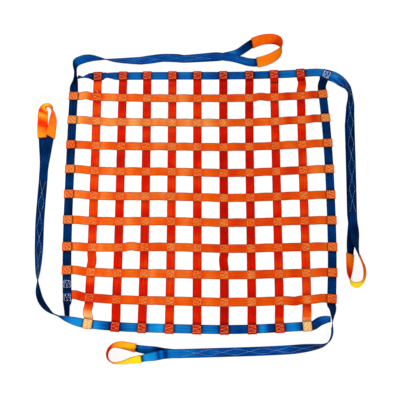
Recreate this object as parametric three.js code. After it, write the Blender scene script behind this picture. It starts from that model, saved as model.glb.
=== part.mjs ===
// Cargo lifting net of flat sewn webbing, lying spread out on the floor. Millimetres, +Z up.
// Nine straps run down and nine run across, sewn where they cross. Their ends are folded round a border
// of four edge webs. Each edge web runs on past its far corner as a lifting leg, is folded back on itself
// into an eye, and lies doubled along the leg. These four stretches of one web are separate solids, with a
// hair's gap at each cut. A wear sleeve covers each eye.
// The origin is under the middle crossing, on the floor.
import * as THREE from "three";

// Webbing
const WEB_WIDTH = 50;
const WEB_THICK = 3;
const GAP = 0.3; // air between two plies that touch
const LAYER = WEB_THICK + GAP; // rise from one ply to the next
const CORE_RISE = WEB_THICK + GAP / 2; // floor to the middle of two plies lying flat
const PLY_OFFSET = LAYER / 2; // middle of two plies to the middle of one

// Net
const STRAP_COUNT = 9;
const PITCH = 150;
const HALF_NET = (PITCH * (STRAP_COUNT + 1)) / 2; // middle of the net to a border's middle line
const MIDDLE_STRAP = (STRAP_COUNT - 1) / 2;
const SEWN_HALF = WEB_WIDTH / 2 + 4; // half the flat stretch of a strap at a crossing
const LAY_POWER = 2.5; // how late a strap swings off the grid towards its ends
const SWAY_TURN = 5.2; // how soon a strap's sway comes, on the way from the middle

// Strap ends, folded round the border
const FOLD_STEPS = 3;
const FOLD_RADIUS = LAYER; // middle of the border's edge to the middle of the folded ply
const TAIL_INSET = WEB_WIDTH / 2 + 2; // border's middle line to the strap's cut end, on top, as a rule
const BARE_END_INSET = 3; // a strap that isn't folded ends this far inside the border's outer edge

// Straps bow up off the floor between the crossings, each span by its own amount
const BOW_MEAN = 3.6;
const BOW_SWING = 1.6;
const BOW_TURN_STRAP = 2.1;
const BOW_TURN_SPAN = 3.7;

// Wear sleeve, a flat tube over the eye
const SLEEVE_WIDTH = 62; // with a sewn seam along each edge of the tube
const SLEEVE_WALL = 1.5;
const SLEEVE_THICK = WEB_THICK + 2 * (GAP + SLEEVE_WALL);
const EYE_STEPS = 2; // sections for each row of an eye

// How far each strap lies off the even grid, at its two ends and in the middle
const DOWN_LAY = [
  { start: 6, middle: 7, end: -4 },
  { start: 7, middle: 6, end: -1 },
  { start: 1, middle: 3, end: -5 },
  { start: 1, middle: 2, end: -4 },
  { start: 0, middle: 0, end: -2 },
  { start: 4, middle: 2, end: -1 },
  { start: 9, middle: 3, end: 2 },
  { start: 6, middle: 6, end: 4 },
  { start: 15, middle: 10, end: 5 },
];
// sway is how far it also swings out to one side before the middle and to the other side after it
const ACROSS_LAY = [
  { start: 21, middle: 5, end: 33, sway: 0 },
  { start: 22, middle: 2, end: 32, sway: 1.5 },
  { start: 19, middle: 3, end: 27, sway: 2 },
  { start: 21, middle: -2, end: 19, sway: 4.5 },
  { start: 21, middle: 0, end: 15, sway: 5 },
  { start: 19, middle: 4, end: 15, sway: 5 },
  { start: 14, middle: 5, end: 11, sway: 5.5 },
  { start: 31, middle: 4, end: 15, sway: 4 },
  { start: 44, middle: 2, end: 19, sway: 4 },
];

// Spans that stand up higher than the rest
const HIGH_SPANS = [
  { strap: "strap_across_1", span: 0, bow: 9 },
  { strap: "strap_across_2", span: 0, bow: 8 },
  { strap: "strap_across_9", span: 0, bow: 9 },
  { strap: "strap_across_9", span: 9, bow: 9 },
  { strap: "strap_across_2", span: 9, bow: 8 },
  { strap: "strap_down_1", span: 0, bow: 10 },
  { strap: "strap_down_1", span: 9, bow: 10 },
  { strap: "strap_down_9", span: 9, bow: 10 },
];

// Spans that bow out sideways
const SIDE_BOWS = [
  { strap: "strap_across_1", span: 0, bow: 5 },
  { strap: "strap_across_1", span: 7, bow: 5 },
  { strap: "strap_across_2", span: 1, bow: -5 },
  { strap: "strap_across_7", span: 2, bow: 5 },
  { strap: "strap_across_9", span: 8, bow: -6 },
  { strap: "strap_down_1", span: 7, bow: 5 },
  { strap: "strap_down_1", span: 9, bow: -8 },
  { strap: "strap_down_6", span: 7, bow: -5 },
  { strap: "strap_down_9", span: 0, bow: 6 },
];

// Strap ends whose cut end lies further in than the rest
const LONG_TAILS = [
  { strap: "strap_down_8", end: "start", inset: 55 },
  { strap: "strap_down_9", end: "start", inset: 43 },
];

// Strap ends that are only tucked under the border, with no fold over it
const BARE_ENDS = [{ strap: "strap_across_9", end: "start" }];

// Stretches of a border that are twisted: how far on from a strap to the next, and the roll there
const BORDER_TWISTS = [
  { border: "top", strap: 0, share: 0.36, roll: -30 },
];

// Edge webs. x and y are the middle of the web, roll turns it about its own length (0 lies flat, 90 stands
// on edge) and lift raises it off the floor. lay is how far the border bows outwards.
// tuck is the end that starts at a corner, leg runs from the next corner out to the end of the long seam,
// and eye goes round the loop and back to that seam. sleeve gives the first and last eye rows under the sleeve,
// and tailRow the leg row where the doubled-back end stops. returnShift is how far that end lies off to one side
// of the leg, at given leg rows.
const EDGE_WEBS = [
  {
    name: "left",
    eyeName: "top",
    along: [0, 1],
    out: [-1, 0],
    lay: { start: -43, middle: -14, end: -19 },
    tuck: [
      { x: -717, y: -676, roll: 66, lift: 0 },
      { x: -718, y: -650, roll: 62, lift: 0 },
      { x: -721, y: -614, roll: 50, lift: 0 },
    ],
    leg: [
      { x: -732, y: 670, roll: 30, lift: 0 },
      { x: -724, y: 705, roll: 63, lift: 0 },
      { x: -726, y: 758, roll: 80, lift: 0 },
      { x: -731, y: 806, roll: 66, lift: 0 },
      { x: -720, y: 831, roll: 45, lift: 0 },
      { x: -699, y: 845, roll: 30, lift: 0 },
      { x: -666, y: 853, roll: 46, lift: 0 },
      { x: -630, y: 855, roll: 68, lift: 0 },
      { x: -594, y: 852, roll: 88, lift: 0 },
      { x: -550, y: 847, roll: 112, lift: 0 },
      { x: -492, y: 842, roll: 136, lift: 0 },
      { x: -402, y: 843, roll: 160, lift: 0 },
      { x: -282, y: 851, roll: 200, lift: 0 },
      { x: -205, y: 857, roll: 226, lift: 0 },
      { x: -135, y: 858, roll: 212, lift: 0 },
      { x: -72, y: 859, roll: 180, lift: 0 },
      { x: 100, y: 868, roll: 180, lift: 0 },
    ],
    eye: [
      { x: 175, y: 879, roll: 180, lift: -1.6 },
      { x: 215, y: 889, roll: 180, lift: -1.6 },
      { x: 252, y: 904, roll: 182, lift: -1.4 },
      { x: 286, y: 926, roll: 190, lift: 0 },
      { x: 331, y: 955, roll: 202, lift: 0 },
      { x: 370, y: 972, roll: 204, lift: 0 },
      { x: 412, y: 981, roll: 206, lift: 0 },
      { x: 457, y: 979, roll: 216, lift: 0 },
      { x: 489, y: 963, roll: 238, lift: 0 },
      { x: 504, y: 934, roll: 264, lift: 0 },
      { x: 497, y: 901, roll: 288, lift: 0 },
      { x: 466, y: 870, roll: 314, lift: 0 },
      { x: 417, y: 846, roll: 330, lift: 0 },
      { x: 352, y: 831, roll: 342, lift: 0 },
      { x: 304, y: 835, roll: 352, lift: 3 },
      { x: 262, y: 848, roll: 358, lift: 3.6 },
      { x: 215, y: 862, roll: 360, lift: 2.4 },
      { x: 165, y: 870, roll: 360, lift: 1.6 },
    ],
    sleeve: { first: 4, last: 13 },
    tailRow: 3,
    returnShift: [
      { row: 15, shift: 0 },
      { row: 16, shift: -8 },
    ],
  },
  {
    name: "top",
    eyeName: "right",
    along: [1, 0],
    out: [0, 1],
    lay: { start: -9, middle: -1, end: 25 },
    tuck: [
      { x: -713, y: 731, roll: -36, lift: 0 },
      { x: -682, y: 730, roll: -58, lift: 0 },
      { x: -645, y: 739, roll: -30, lift: 0 },
    ],
    leg: [
      { x: 723, y: 770, roll: 0, lift: 0 },
      { x: 783, y: 761, roll: 0, lift: 0 },
      { x: 825, y: 745, roll: 0, lift: 0 },
      { x: 857, y: 719, roll: 0, lift: 0 },
      { x: 876, y: 693, roll: 0, lift: 0 },
      { x: 891, y: 664, roll: -30, lift: 0 },
      { x: 902, y: 627, roll: -48, lift: 0 },
      { x: 903, y: 585, roll: -34, lift: 0 },
      { x: 900, y: 529, roll: 0, lift: 0 },
      { x: 897, y: 435, roll: 0, lift: 0 },
      { x: 892, y: 190, roll: 0, lift: 0 },
      { x: 885, y: -96, roll: 0, lift: 0 },
    ],
    eye: [
      { x: 887, y: -161, roll: 0, lift: 1.6 },
      { x: 887, y: -225, roll: -6, lift: 2.6 },
      { x: 891, y: -275, roll: -30, lift: 5 },
      { x: 900, y: -314, roll: -58, lift: 2 },
      { x: 908, y: -340, roll: -68, lift: 0 },
      { x: 919, y: -370, roll: -70, lift: 0 },
      { x: 930, y: -407, roll: -67, lift: 0 },
      { x: 931, y: -452, roll: -68, lift: 0 },
      { x: 917, y: -491, roll: -74, lift: 0 },
      { x: 891, y: -510, roll: -68, lift: 0 },
      { x: 865, y: -507, roll: -76, lift: 0 },
      { x: 848, y: -488, roll: -92, lift: 0 },
      { x: 842, y: -460, roll: -106, lift: 0 },
      { x: 845, y: -430, roll: -121, lift: 0 },
      { x: 849, y: -386, roll: -129, lift: 0 },
      { x: 854, y: -330, roll: -138, lift: 0 },
      { x: 861, y: -282, roll: -153, lift: 0 },
      { x: 871, y: -228, roll: -174, lift: -1.2 },
      { x: 880, y: -161, roll: -180, lift: -1.6 },
    ],
    sleeve: { first: 4, last: 15 },
    tailRow: 0,
    returnShift: [
      { row: 0, shift: -18 },
      { row: 2, shift: -16 },
      { row: 3, shift: -12 },
      { row: 4, shift: 0 },
      { row: 8, shift: 0 },
      { row: 9, shift: -8 },
      { row: 11, shift: -7 },
    ],
  },
  {
    name: "right",
    eyeName: "bottom",
    along: [0, -1],
    out: [1, 0],
    lay: { start: -20, middle: 13, end: -22 },
    tuck: [
      { x: 783, y: 792, roll: 0, lift: LAYER },
      { x: 770, y: 756, roll: 0, lift: LAYER },
      { x: 751, y: 720, roll: 0, lift: LAYER },
      { x: 740, y: 688, roll: 0, lift: 0 },
    ],
    leg: [
      { x: 744, y: -634, roll: -50, lift: 0 },
      { x: 741, y: -680, roll: -78, lift: 0 },
      { x: 738, y: -736, roll: -90, lift: 0 },
      { x: 737, y: -772, roll: -90, lift: 0 },
      { x: 727, y: -804, roll: -90, lift: 0 },
      { x: 709, y: -826, roll: -86, lift: 0 },
      { x: 685, y: -839, roll: -76, lift: 0 },
      { x: 630, y: -848, roll: -52, lift: 0 },
      { x: 564, y: -855, roll: -26, lift: 0 },
      { x: 509, y: -860, roll: -10, lift: 0 },
      { x: 318, y: -869, roll: 0, lift: 0 },
      { x: -91, y: -881, roll: 0, lift: 0 },
    ],
    eye: [
      { x: -140, y: -882, roll: 0, lift: 1.6 },
      { x: -185, y: -886, roll: -3, lift: 2.4 },
      { x: -228, y: -895, roll: -14, lift: 3.6 },
      { x: -270, y: -902, roll: -36, lift: 2 },
      { x: -306, y: -911, roll: -51, lift: 0 },
      { x: -350, y: -918, roll: -60, lift: 0 },
      { x: -391, y: -928, roll: -74, lift: 0 },
      { x: -430, y: -934, roll: -85, lift: 0 },
      { x: -459, y: -931, roll: -88, lift: 0 },
      { x: -480, y: -915, roll: -90, lift: 0 },
      { x: -488, y: -888, roll: -91, lift: 0 },
      { x: -477, y: -856, roll: -94, lift: 0 },
      { x: -452, y: -839, roll: -105, lift: 0 },
      { x: -420, y: -836, roll: -122, lift: 0 },
      { x: -381, y: -842, roll: -130, lift: 0 },
      { x: -334, y: -853, roll: -137, lift: 0 },
      { x: -276, y: -863, roll: -152, lift: 0 },
      { x: -228, y: -868, roll: -172, lift: -0.6 },
      { x: -180, y: -876, roll: -180, lift: -1.6 },
      { x: -140, y: -880, roll: -180, lift: -1.6 },
    ],
    sleeve: { first: 4, last: 15 },
    tailRow: 2,
  },
  {
    name: "bottom",
    eyeName: "left",
    along: [-1, 0],
    out: [0, -1],
    lay: { start: -28, middle: -1, end: -54, sway: 3 },
    tuck: [
      { x: 730, y: -696, roll: -58, lift: 0 },
      { x: 706, y: -697, roll: -40, lift: 0 },
      { x: 675, y: -706, roll: -14, lift: 0 },
    ],
    leg: [
      { x: -660, y: -709, roll: -22, lift: 0 },
      { x: -716, y: -694, roll: -54, lift: 0 },
      { x: -764, y: -678, roll: -86, lift: 0 },
      { x: -800, y: -663, roll: -98, lift: 0 },
      { x: -831, y: -637, roll: -116, lift: 0 },
      { x: -859, y: -601, roll: -122, lift: 0 },
      { x: -876, y: -559, roll: -116, lift: 0 },
      { x: -883, y: -504, roll: -90, lift: 0 },
      { x: -887, y: -436, roll: -52, lift: 0 },
      { x: -889, y: -357, roll: -28, lift: 0 },
      { x: -892, y: -271, roll: -8, lift: 0 },
      { x: -895, y: -143, roll: 0, lift: 0 },
      { x: -888, y: 108, roll: 0, lift: 0 },
    ],
    eye: [
      { x: -887, y: 160, roll: 0, lift: 1.6 },
      { x: -882, y: 210, roll: 0, lift: 2.4 },
      { x: -874, y: 256, roll: -4, lift: 3.6 },
      { x: -866, y: 306, roll: -10, lift: 5.5 },
      { x: -857, y: 356, roll: -18, lift: 11 },
      { x: -850, y: 400, roll: -26, lift: 10 },
      { x: -845, y: 456, roll: -40, lift: 2 },
      { x: -848, y: 508, roll: -66, lift: 0 },
      { x: -860, y: 540, roll: -92, lift: 0 },
      { x: -883, y: 553, roll: -106, lift: 0 },
      { x: -906, y: 542, roll: -116, lift: 0 },
      { x: -917, y: 512, roll: -133, lift: 0 },
      { x: -914, y: 468, roll: -152, lift: 0 },
      { x: -908, y: 410, roll: -179, lift: 0 },
      { x: -902, y: 358, roll: -182, lift: 0 },
      { x: -898, y: 310, roll: -178, lift: -0.8 },
      { x: -893, y: 262, roll: -180, lift: -1.6 },
      { x: -889, y: 215, roll: -180, lift: -1.6 },
      { x: -888, y: 165, roll: -180, lift: -1.6 },
    ],
    sleeve: { first: 4, last: 14 },
    tailRow: 2,
  },
];

// Finishes
const ACROSS_FINISH = { color: 0xee6c12, roughness: 0.62, metalness: 0 };
const DOWN_FINISH = { color: 0xdd2a0a, roughness: 0.62, metalness: 0 };
const EDGE_FINISH = { color: 0x12408f, roughness: 0.55, metalness: 0 };
const SLEEVE_FINISH = { color: 0xff7d0c, roughness: 0.7, metalness: 0 };

const UP = new THREE.Vector3(0, 0, 1);
const CUT_TEST = new THREE.Vector3(0.36, 0.48, 0.8); // direction that decides how twisted faces are cut

// Lines in plan. A strap and a border are both a line that bows a little off the grid.

function makeLine(along, across, grid, lay) {
  return {
    along: new THREE.Vector3(along[0], along[1], 0),
    across: new THREE.Vector3(across[0], across[1], 0),
    grid,
    lay,
  };
}

function pointOnLine(line, distance) {
  const share = distance / HALF_NET;
  const endLay = share < 0 ? line.lay.start : line.lay.end;
  const offset = line.lay.middle + (endLay - line.lay.middle) * Math.abs(share) ** LAY_POWER;
  const sway = (line.lay.sway ?? 0) * Math.sin(SWAY_TURN * share) * (1 - share * share);
  return new THREE.Vector3()
    .addScaledVector(line.along, distance)
    .addScaledVector(line.across, line.grid + offset - sway);
}

// Distance along a line at which it meets another
function meeting(line, other) {
  let distance = 0;
  for (let pass = 0; pass < 4; pass += 1) {
    const otherDistance = pointOnLine(line, distance).dot(other.along);
    distance = pointOnLine(other, otherDistance).dot(line.along);
  }
  return distance;
}

// A section of webbing: its middle, the direction of its width and the direction its face looks in

function section(middle, width, face) {
  return { middle, width, face };
}

function rolledSection(middle, heading, rollDegrees) {
  const roll = THREE.MathUtils.degToRad(rollDegrees);
  const side = new THREE.Vector3().crossVectors(UP, heading).normalize();
  const width = side.clone().multiplyScalar(Math.cos(roll)).addScaledVector(UP, Math.sin(roll));
  const face = UP.clone().multiplyScalar(Math.cos(roll)).addScaledVector(side, -Math.sin(roll));
  return section(middle, width, face);
}

// The same webbing run through the other way
function turnedRound(sections) {
  return sections
    .map((each) => section(each.middle, each.width.clone().negate(), each.face))
    .reverse();
}

function corners(each, width, thick) {
  const list = [];
  for (const [across, through] of [[-1, -1], [1, -1], [1, 1], [-1, 1]]) {
    list.push(
      each.middle
        .clone()
        .addScaledVector(each.width, (across * width) / 2)
        .addScaledVector(each.face, (through * thick) / 2),
    );
  }
  return list;
}

// Two triangles for a four-cornered face, cut from a to c or from b to d
function pushFace(triangles, a, b, c, d, cutFromFirst = true) {
  if (cutFromFirst) {
    triangles.push(a, b, c, a, c, d);
  } else {
    triangles.push(a, b, d, b, c, d);
  }
}

// The sides of a four-sided sweep between two sections. Twisted faces are cut the same way on every ply.
function pushSides(triangles, sections, index, stride, first, inwards) {
  const here = sections[index].width.dot(CUT_TEST);
  const next = sections[index + 1].width.dot(CUT_TEST);
  const cuts = [next < here, true, next >= here, true];
  for (let side = 0; side < 4; side += 1) {
    const a = stride * index + first + side;
    const b = stride * index + first + ((side + 1) % 4);
    if (inwards) {
      pushFace(triangles, b, a, a + stride, b + stride, !cuts[side]);
    } else {
      pushFace(triangles, a, b, b + stride, a + stride, cuts[side]);
    }
  }
}

function solidFrom(points, triangles) {
  const geometry = new THREE.BufferGeometry().setFromPoints(points);
  geometry.setIndex(triangles);
  geometry.computeVertexNormals();
  return geometry;
}

// Webbing swept through its sections, with both cut ends closed
function webbing(sections) {
  const points = sections.flatMap((each) => corners(each, WEB_WIDTH, WEB_THICK));
  const triangles = [];
  for (let i = 0; i + 1 < sections.length; i += 1) pushSides(triangles, sections, i, 4, 0, false);
  const last = 4 * (sections.length - 1);
  pushFace(triangles, 3, 2, 1, 0);
  pushFace(triangles, last, last + 1, last + 2, last + 3);
  return solidFrom(points, triangles);
}

// A flat tube swept through its sections, open at both ends
function flatTube(sections) {
  const points = sections.flatMap((each) => [
    ...corners(each, SLEEVE_WIDTH, SLEEVE_THICK),
    ...corners(each, WEB_WIDTH + 2 * GAP, WEB_THICK + 2 * GAP),
  ]);
  const triangles = [];
  for (let i = 0; i + 1 < sections.length; i += 1) {
    pushSides(triangles, sections, i, 8, 0, false);
    pushSides(triangles, sections, i, 8, 4, true);
  }
  const last = 8 * (sections.length - 1);
  for (let side = 0; side < 4; side += 1) {
    const beside = (side + 1) % 4;
    pushFace(triangles, beside, side, side + 4, beside + 4);
    pushFace(triangles, last + side, last + beside, last + beside + 4, last + side + 4);
  }
  return solidFrom(points, triangles);
}

// Straps

function spanBow(name, strapIndex, span) {
  const high = HIGH_SPANS.find((row) => row.strap === name && row.span === span);
  if (high) return high.bow;
  return BOW_MEAN + BOW_SWING * Math.sin(BOW_TURN_STRAP * strapIndex + BOW_TURN_SPAN * span);
}

function sideBow(name, span) {
  return SIDE_BOWS.find((row) => row.strap === name && row.span === span)?.bow ?? 0;
}

// The end of a strap, going outwards: under the border, round its outer edge and back on top
function foldedEnd(border, borderDistance, tailInset) {
  const inner = pointOnLine(border, borderDistance - SEWN_HALF);
  const outer = pointOnLine(border, borderDistance + SEWN_HALF);
  const middle = inner.clone().add(outer).multiplyScalar(0.5);
  const edge = outer.clone().sub(inner).normalize();
  const outwards = new THREE.Vector3().crossVectors(edge, UP);
  if (outwards.dot(border.across) < 0) outwards.negate();
  const width = new THREE.Vector3().crossVectors(UP, outwards);
  const place = (reach, height, turn) =>
    section(
      middle.clone().addScaledVector(outwards, reach).setZ(height),
      width.clone(),
      UP.clone().multiplyScalar(Math.cos(turn)).addScaledVector(outwards, -Math.sin(turn)),
    );
  const borderHeight = LAYER + WEB_THICK / 2;
  const sections = [place(-SEWN_HALF, WEB_THICK / 2, 0)];
  for (let step = 0; step <= FOLD_STEPS; step += 1) {
    const turn = (Math.PI * step) / FOLD_STEPS;
    sections.push(
      place(
        WEB_WIDTH / 2 + FOLD_RADIUS * Math.sin(turn),
        borderHeight - FOLD_RADIUS * Math.cos(turn),
        turn,
      ),
    );
  }
  sections.push(place(-tailInset, borderHeight + FOLD_RADIUS, Math.PI));
  return sections;
}

// The end of a strap that is only tucked under the border
function bareEnd(border, borderDistance) {
  const sections = foldedEnd(border, borderDistance, TAIL_INSET).slice(0, 2);
  sections[1].middle.addScaledVector(border.across, -BARE_END_INSET);
  return sections;
}

function strapEnd(name, end, strap, border) {
  const distance = meeting(border, strap);
  const isHere = (row) => row.strap === name && row.end === end;
  if (BARE_ENDS.some(isHere)) return bareEnd(border, distance);
  const longTail = LONG_TAILS.find(isHere);
  return foldedEnd(border, distance, longTail ? longTail.inset : TAIL_INSET);
}

// crossed are the straps that it is sewn to, in order, and height is the level of its underside there
function strapSections(name, strapIndex, strap, crossed, height, startBorder, endBorder) {
  const width = new THREE.Vector3().crossVectors(UP, strap.along);
  const place = (distance, underside) =>
    section(
      pointOnLine(strap, distance).setZ(underside + WEB_THICK / 2),
      width.clone(),
      UP.clone(),
    );
  const stops = [meeting(strap, startBorder)];
  for (const other of crossed) stops.push(meeting(strap, other));
  stops.push(meeting(strap, endBorder));
  const sections = turnedRound(strapEnd(name, "start", strap, startBorder));
  for (let span = 0; span + 1 < stops.length; span += 1) {
    const atBorder = span === 0 || span + 2 === stops.length;
    const base = atBorder ? height / 2 : height;
    const middle = place((stops[span] + stops[span + 1]) / 2, base + spanBow(name, strapIndex, span));
    middle.middle.addScaledVector(strap.across, sideBow(name, span));
    sections.push(middle);
    if (span + 2 < stops.length) {
      sections.push(place(stops[span + 1] - SEWN_HALF, height));
      sections.push(place(stops[span + 1] + SEWN_HALF, height));
    }
  }
  sections.push(...strapEnd(name, "end", strap, endBorder));
  return sections;
}

// Edge webs

function headingAt(rows, index) {
  if (rows[index].heading) return rows[index].heading;
  const before = rows[Math.max(index - 1, 0)];
  const after = rows[Math.min(index + 1, rows.length - 1)];
  return new THREE.Vector3(after.x - before.x, after.y - before.y, 0).normalize();
}

// Rows with others put in between, on a smooth curve through them
function refined(rows, steps) {
  const curve = new THREE.CatmullRomCurve3(
    rows.map((row) => new THREE.Vector3(row.x, row.y, row.roll)),
  );
  const count = (rows.length - 1) * steps;
  return Array.from({ length: count + 1 }, (_, index) => {
    const before = rows[Math.floor(index / steps)];
    const after = rows[Math.ceil(index / steps)];
    const point = curve.getPoint(index / count);
    const lift = THREE.MathUtils.lerp(before.lift, after.lift, (index % steps) / steps);
    return { x: point.x, y: point.y, roll: point.z, lift };
  });
}

// Height of the middle of something rolled over, with its lowest edge on the floor
function restHeight(rollDegrees, width, thick) {
  const roll = THREE.MathUtils.degToRad(rollDegrees);
  return (Math.abs(Math.sin(roll)) * width + Math.abs(Math.cos(roll)) * thick) / 2;
}

// The border between its two corners, flat where each strap is folded round it
function borderRows(borderName, line, straps) {
  const rows = [];
  const addRow = (distance, roll) => {
    const point = pointOnLine(line, distance);
    rows.push({ x: point.x, y: point.y, roll, lift: 0, heading: line.along });
  };
  const stops = straps.map((strap) => meeting(line, strap)).sort((a, b) => a - b);
  stops.forEach((stop, index) => {
    addRow(stop - SEWN_HALF, 0);
    addRow(stop + SEWN_HALF, 0);
    if (index + 1 === stops.length) return;
    const twist = BORDER_TWISTS.find((row) => row.border === borderName && row.strap === index);
    addRow(THREE.MathUtils.lerp(stop, stops[index + 1], twist?.share ?? 0.5), twist?.roll ?? 0);
  });
  return rows;
}

// A section like the last one given, a hair's gap short of it on the way there from the first
function shortOf(last, first) {
  const back = first.middle.clone().sub(last.middle).setLength(GAP);
  return section(last.middle.clone().add(back), last.width, last.face);
}

// How far the doubled-back end lies off to one side at a leg row
function returnShiftAt(web, row) {
  const given = web.returnShift ?? [];
  const after = given.find((each) => each.row >= row);
  const before = given.findLast((each) => each.row <= row);
  if (!before || !after || before === after) return (before ?? after)?.shift ?? 0;
  return THREE.MathUtils.mapLinear(row, before.row, after.row, before.shift, after.shift);
}

// The four stretches of an edge web: border, leg, eye and the end that comes back along the leg
function edgeWebSections(web, line, straps) {
  const route = [...web.tuck, ...borderRows(web.name, line, straps), ...web.leg];
  const legStart = route.length - web.leg.length;
  const outbound = route.map((row, index) => {
    const middle = new THREE.Vector3(
      row.x,
      row.y,
      restHeight(row.roll, WEB_WIDTH, 2 * CORE_RISE) + row.lift,
    );
    return rolledSection(middle, headingAt(route, index), row.roll);
  });
  const eyeRows = refined(web.eye, EYE_STEPS);
  const eye = eyeRows.map((row, index) => {
    const height = restHeight(row.roll, SLEEVE_WIDTH, SLEEVE_THICK) + row.lift;
    return rolledSection(
      new THREE.Vector3(row.x, row.y, height),
      headingAt(eyeRows, index),
      row.roll,
    );
  });
  const onPly = (each) =>
    section(each.middle.clone().addScaledVector(each.face, PLY_OFFSET), each.width, each.face);
  const border = outbound.slice(0, legStart).map(onPly);
  const leg = outbound.slice(legStart).map(onPly);
  const returning = outbound
    .slice(legStart)
    .map((each, row) => {
      const middle = each.middle.clone().addScaledVector(each.width, returnShiftAt(web, row));
      return section(middle, each.width, each.face.clone().negate());
    })
    .slice(web.tailRow)
    .reverse()
    .map(onPly);
  return {
    border,
    leg: [shortOf(border.at(-1), leg[0]), ...leg, shortOf(eye[0], leg.at(-1))],
    eye,
    returning: [shortOf(eye.at(-1), returning[0]), ...returning],
  };
}

// The net

const net = new THREE.Group();

function addPiece(name, geometry, finish) {
  const mesh = new THREE.Mesh(geometry, new THREE.MeshStandardMaterial(finish));
  mesh.name = name;
  net.add(mesh);
}

const downLines = DOWN_LAY.map((lay, index) =>
  makeLine([0, -1], [1, 0], (index - MIDDLE_STRAP) * PITCH, lay),
);
const acrossLines = ACROSS_LAY.map((lay, index) =>
  makeLine([1, 0], [0, 1], (MIDDLE_STRAP - index) * PITCH, lay),
);
const borderLines = {};
for (const web of EDGE_WEBS) {
  borderLines[web.name] = makeLine(web.along, web.out, HALF_NET, web.lay);
}

downLines.forEach((line, index) => {
  const name = `strap_down_${index + 1}`;
  const sections = strapSections(
    name, index, line, acrossLines, 0, borderLines.top, borderLines.bottom,
  );
  addPiece(name, webbing(sections), DOWN_FINISH);
});

acrossLines.forEach((line, index) => {
  const name = `strap_across_${index + 1}`;
  const sections = strapSections(
    name, index, line, downLines, LAYER, borderLines.left, borderLines.right,
  );
  addPiece(name, webbing(sections), ACROSS_FINISH);
});

for (const web of EDGE_WEBS) {
  const straps = web.along[0] === 0 ? acrossLines : downLines;
  const sections = edgeWebSections(web, borderLines[web.name], straps);
  addPiece(`edge_web_${web.name}`, webbing(sections.border), EDGE_FINISH);
  addPiece(`leg_web_${web.eyeName}`, webbing(sections.leg), EDGE_FINISH);
  addPiece(`eye_web_${web.eyeName}`, webbing(sections.eye), EDGE_FINISH);
  addPiece(`return_web_${web.eyeName}`, webbing(sections.returning), EDGE_FINISH);
  const covered = sections.eye.slice(web.sleeve.first * EYE_STEPS, web.sleeve.last * EYE_STEPS + 1);
  addPiece(`wear_sleeve_${web.eyeName}`, flatTube(covered), SLEEVE_FINISH);
}

export default net;
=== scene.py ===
import math

import bpy
import numpy as np
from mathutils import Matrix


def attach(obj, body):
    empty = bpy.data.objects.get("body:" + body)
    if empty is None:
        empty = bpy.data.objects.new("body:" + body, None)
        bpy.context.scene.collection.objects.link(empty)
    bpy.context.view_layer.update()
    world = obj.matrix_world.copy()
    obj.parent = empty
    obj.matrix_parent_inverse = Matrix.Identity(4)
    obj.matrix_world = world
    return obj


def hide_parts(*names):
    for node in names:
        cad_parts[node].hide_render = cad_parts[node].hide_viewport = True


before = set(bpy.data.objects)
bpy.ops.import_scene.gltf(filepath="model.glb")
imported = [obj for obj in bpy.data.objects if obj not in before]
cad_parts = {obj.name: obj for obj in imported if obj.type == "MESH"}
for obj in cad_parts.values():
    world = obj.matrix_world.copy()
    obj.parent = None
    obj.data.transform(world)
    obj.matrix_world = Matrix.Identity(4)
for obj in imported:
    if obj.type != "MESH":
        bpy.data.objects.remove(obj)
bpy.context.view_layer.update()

# Down straps
# Nine lengths of polyester webbing, woven flat with a firm selvedge along each edge, and laid out first. They
# are the same orange webbing as the across straps; their deeper red is painted shade, for how the light falls
# along them. Each end runs under the border, is folded round the border's outer edge and lies sewn on top of
# it.

MM = 0.001
WEB_WIDTH = 50 * MM
WEB_THICK = 2.9 * MM
LAYER = 3.3 * MM  # from one sewn ply to the next
FIRST_PLY = 1.5 * MM  # height of the middle of a ply on the floor, and of those sewn on top of it
SECOND_PLY = FIRST_PLY + LAYER
THIRD_PLY = SECOND_PLY + LAYER

STRAP_COUNT = 9
PITCH = 150 * MM
HALF_NET = PITCH * (STRAP_COUNT + 1) / 2
MIDDLE_STRAP = (STRAP_COUNT - 1) / 2
SEWN_HALF = 29 * MM  # half the flat stretch of a strap at a crossing
LAY_POWER = 2.5  # how late a strap swings off the grid towards its ends
TAIL_INSET = 27 * MM  # border's middle line to the strap's cut end, on top, as a rule
BARE_END_REACH = 22 * MM  # where a strap that isn't folded ends, past the border's middle line

# Stations along a span, a crossing, the fold round a border, and the end on top of it, up to the border's
# middle and past it
SPAN_STEPS = 12
SEWN_STEPS = 8
FOLD_STEPS = 8
TOP_STEPS = 4
TAIL_STEPS = 5

BOW_MEAN = 3.6 * MM  # how high a strap bows up between two crossings, and how much that differs
BOW_SWING = 1.6 * MM
BOW_TURN_STRAP = 2.1  # how the bow changes from one strap to the next, and from span to span
BOW_TURN_SPAN = 3.7
BOW_SKEW = (0.75, 1.3)  # range of the power that moves the top of a bow off the middle of its span
RIPPLE = 1.1 * MM  # how far a selvedge waves up and down between the crossings
RIPPLE_LENGTHS = (0.083, 0.12)
SPAN_ROLL = 5.0  # degrees that a strap leans over between the crossings
ROLL_LENGTHS = (0.31, 0.47)

# How far each strap lies off the even grid at its start, middle and end, in mm
DOWN_LAY = [
    (6, 7, -4), (7, 6, -1), (1, 3, -5), (1, 2, -4), (0, 0, -2), (4, 2, -1), (9, 3, 2), (6, 6, 4), (15, 10, 5),
]
ACROSS_LAY = [
    (21, 5, 33), (22, 2, 32), (19, 3, 27), (21, -2, 19), (21, 0, 15),
    (19, 4, 15), (14, 5, 11), (31, 4, 15), (44, 2, 19),
]
# How far a strap or border sways, to one side before its middle and to the other after it, in mm
ACROSS_SWAY = [0, 1.5, 2, 4.5, 5, 5, 5.5, 4, 4]
BORDER_SWAY = {"left": 0, "top": 0, "right": 0, "bottom": 3}
SWAY_TURN = 5.2  # how soon the sway comes, on the way from the middle
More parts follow.
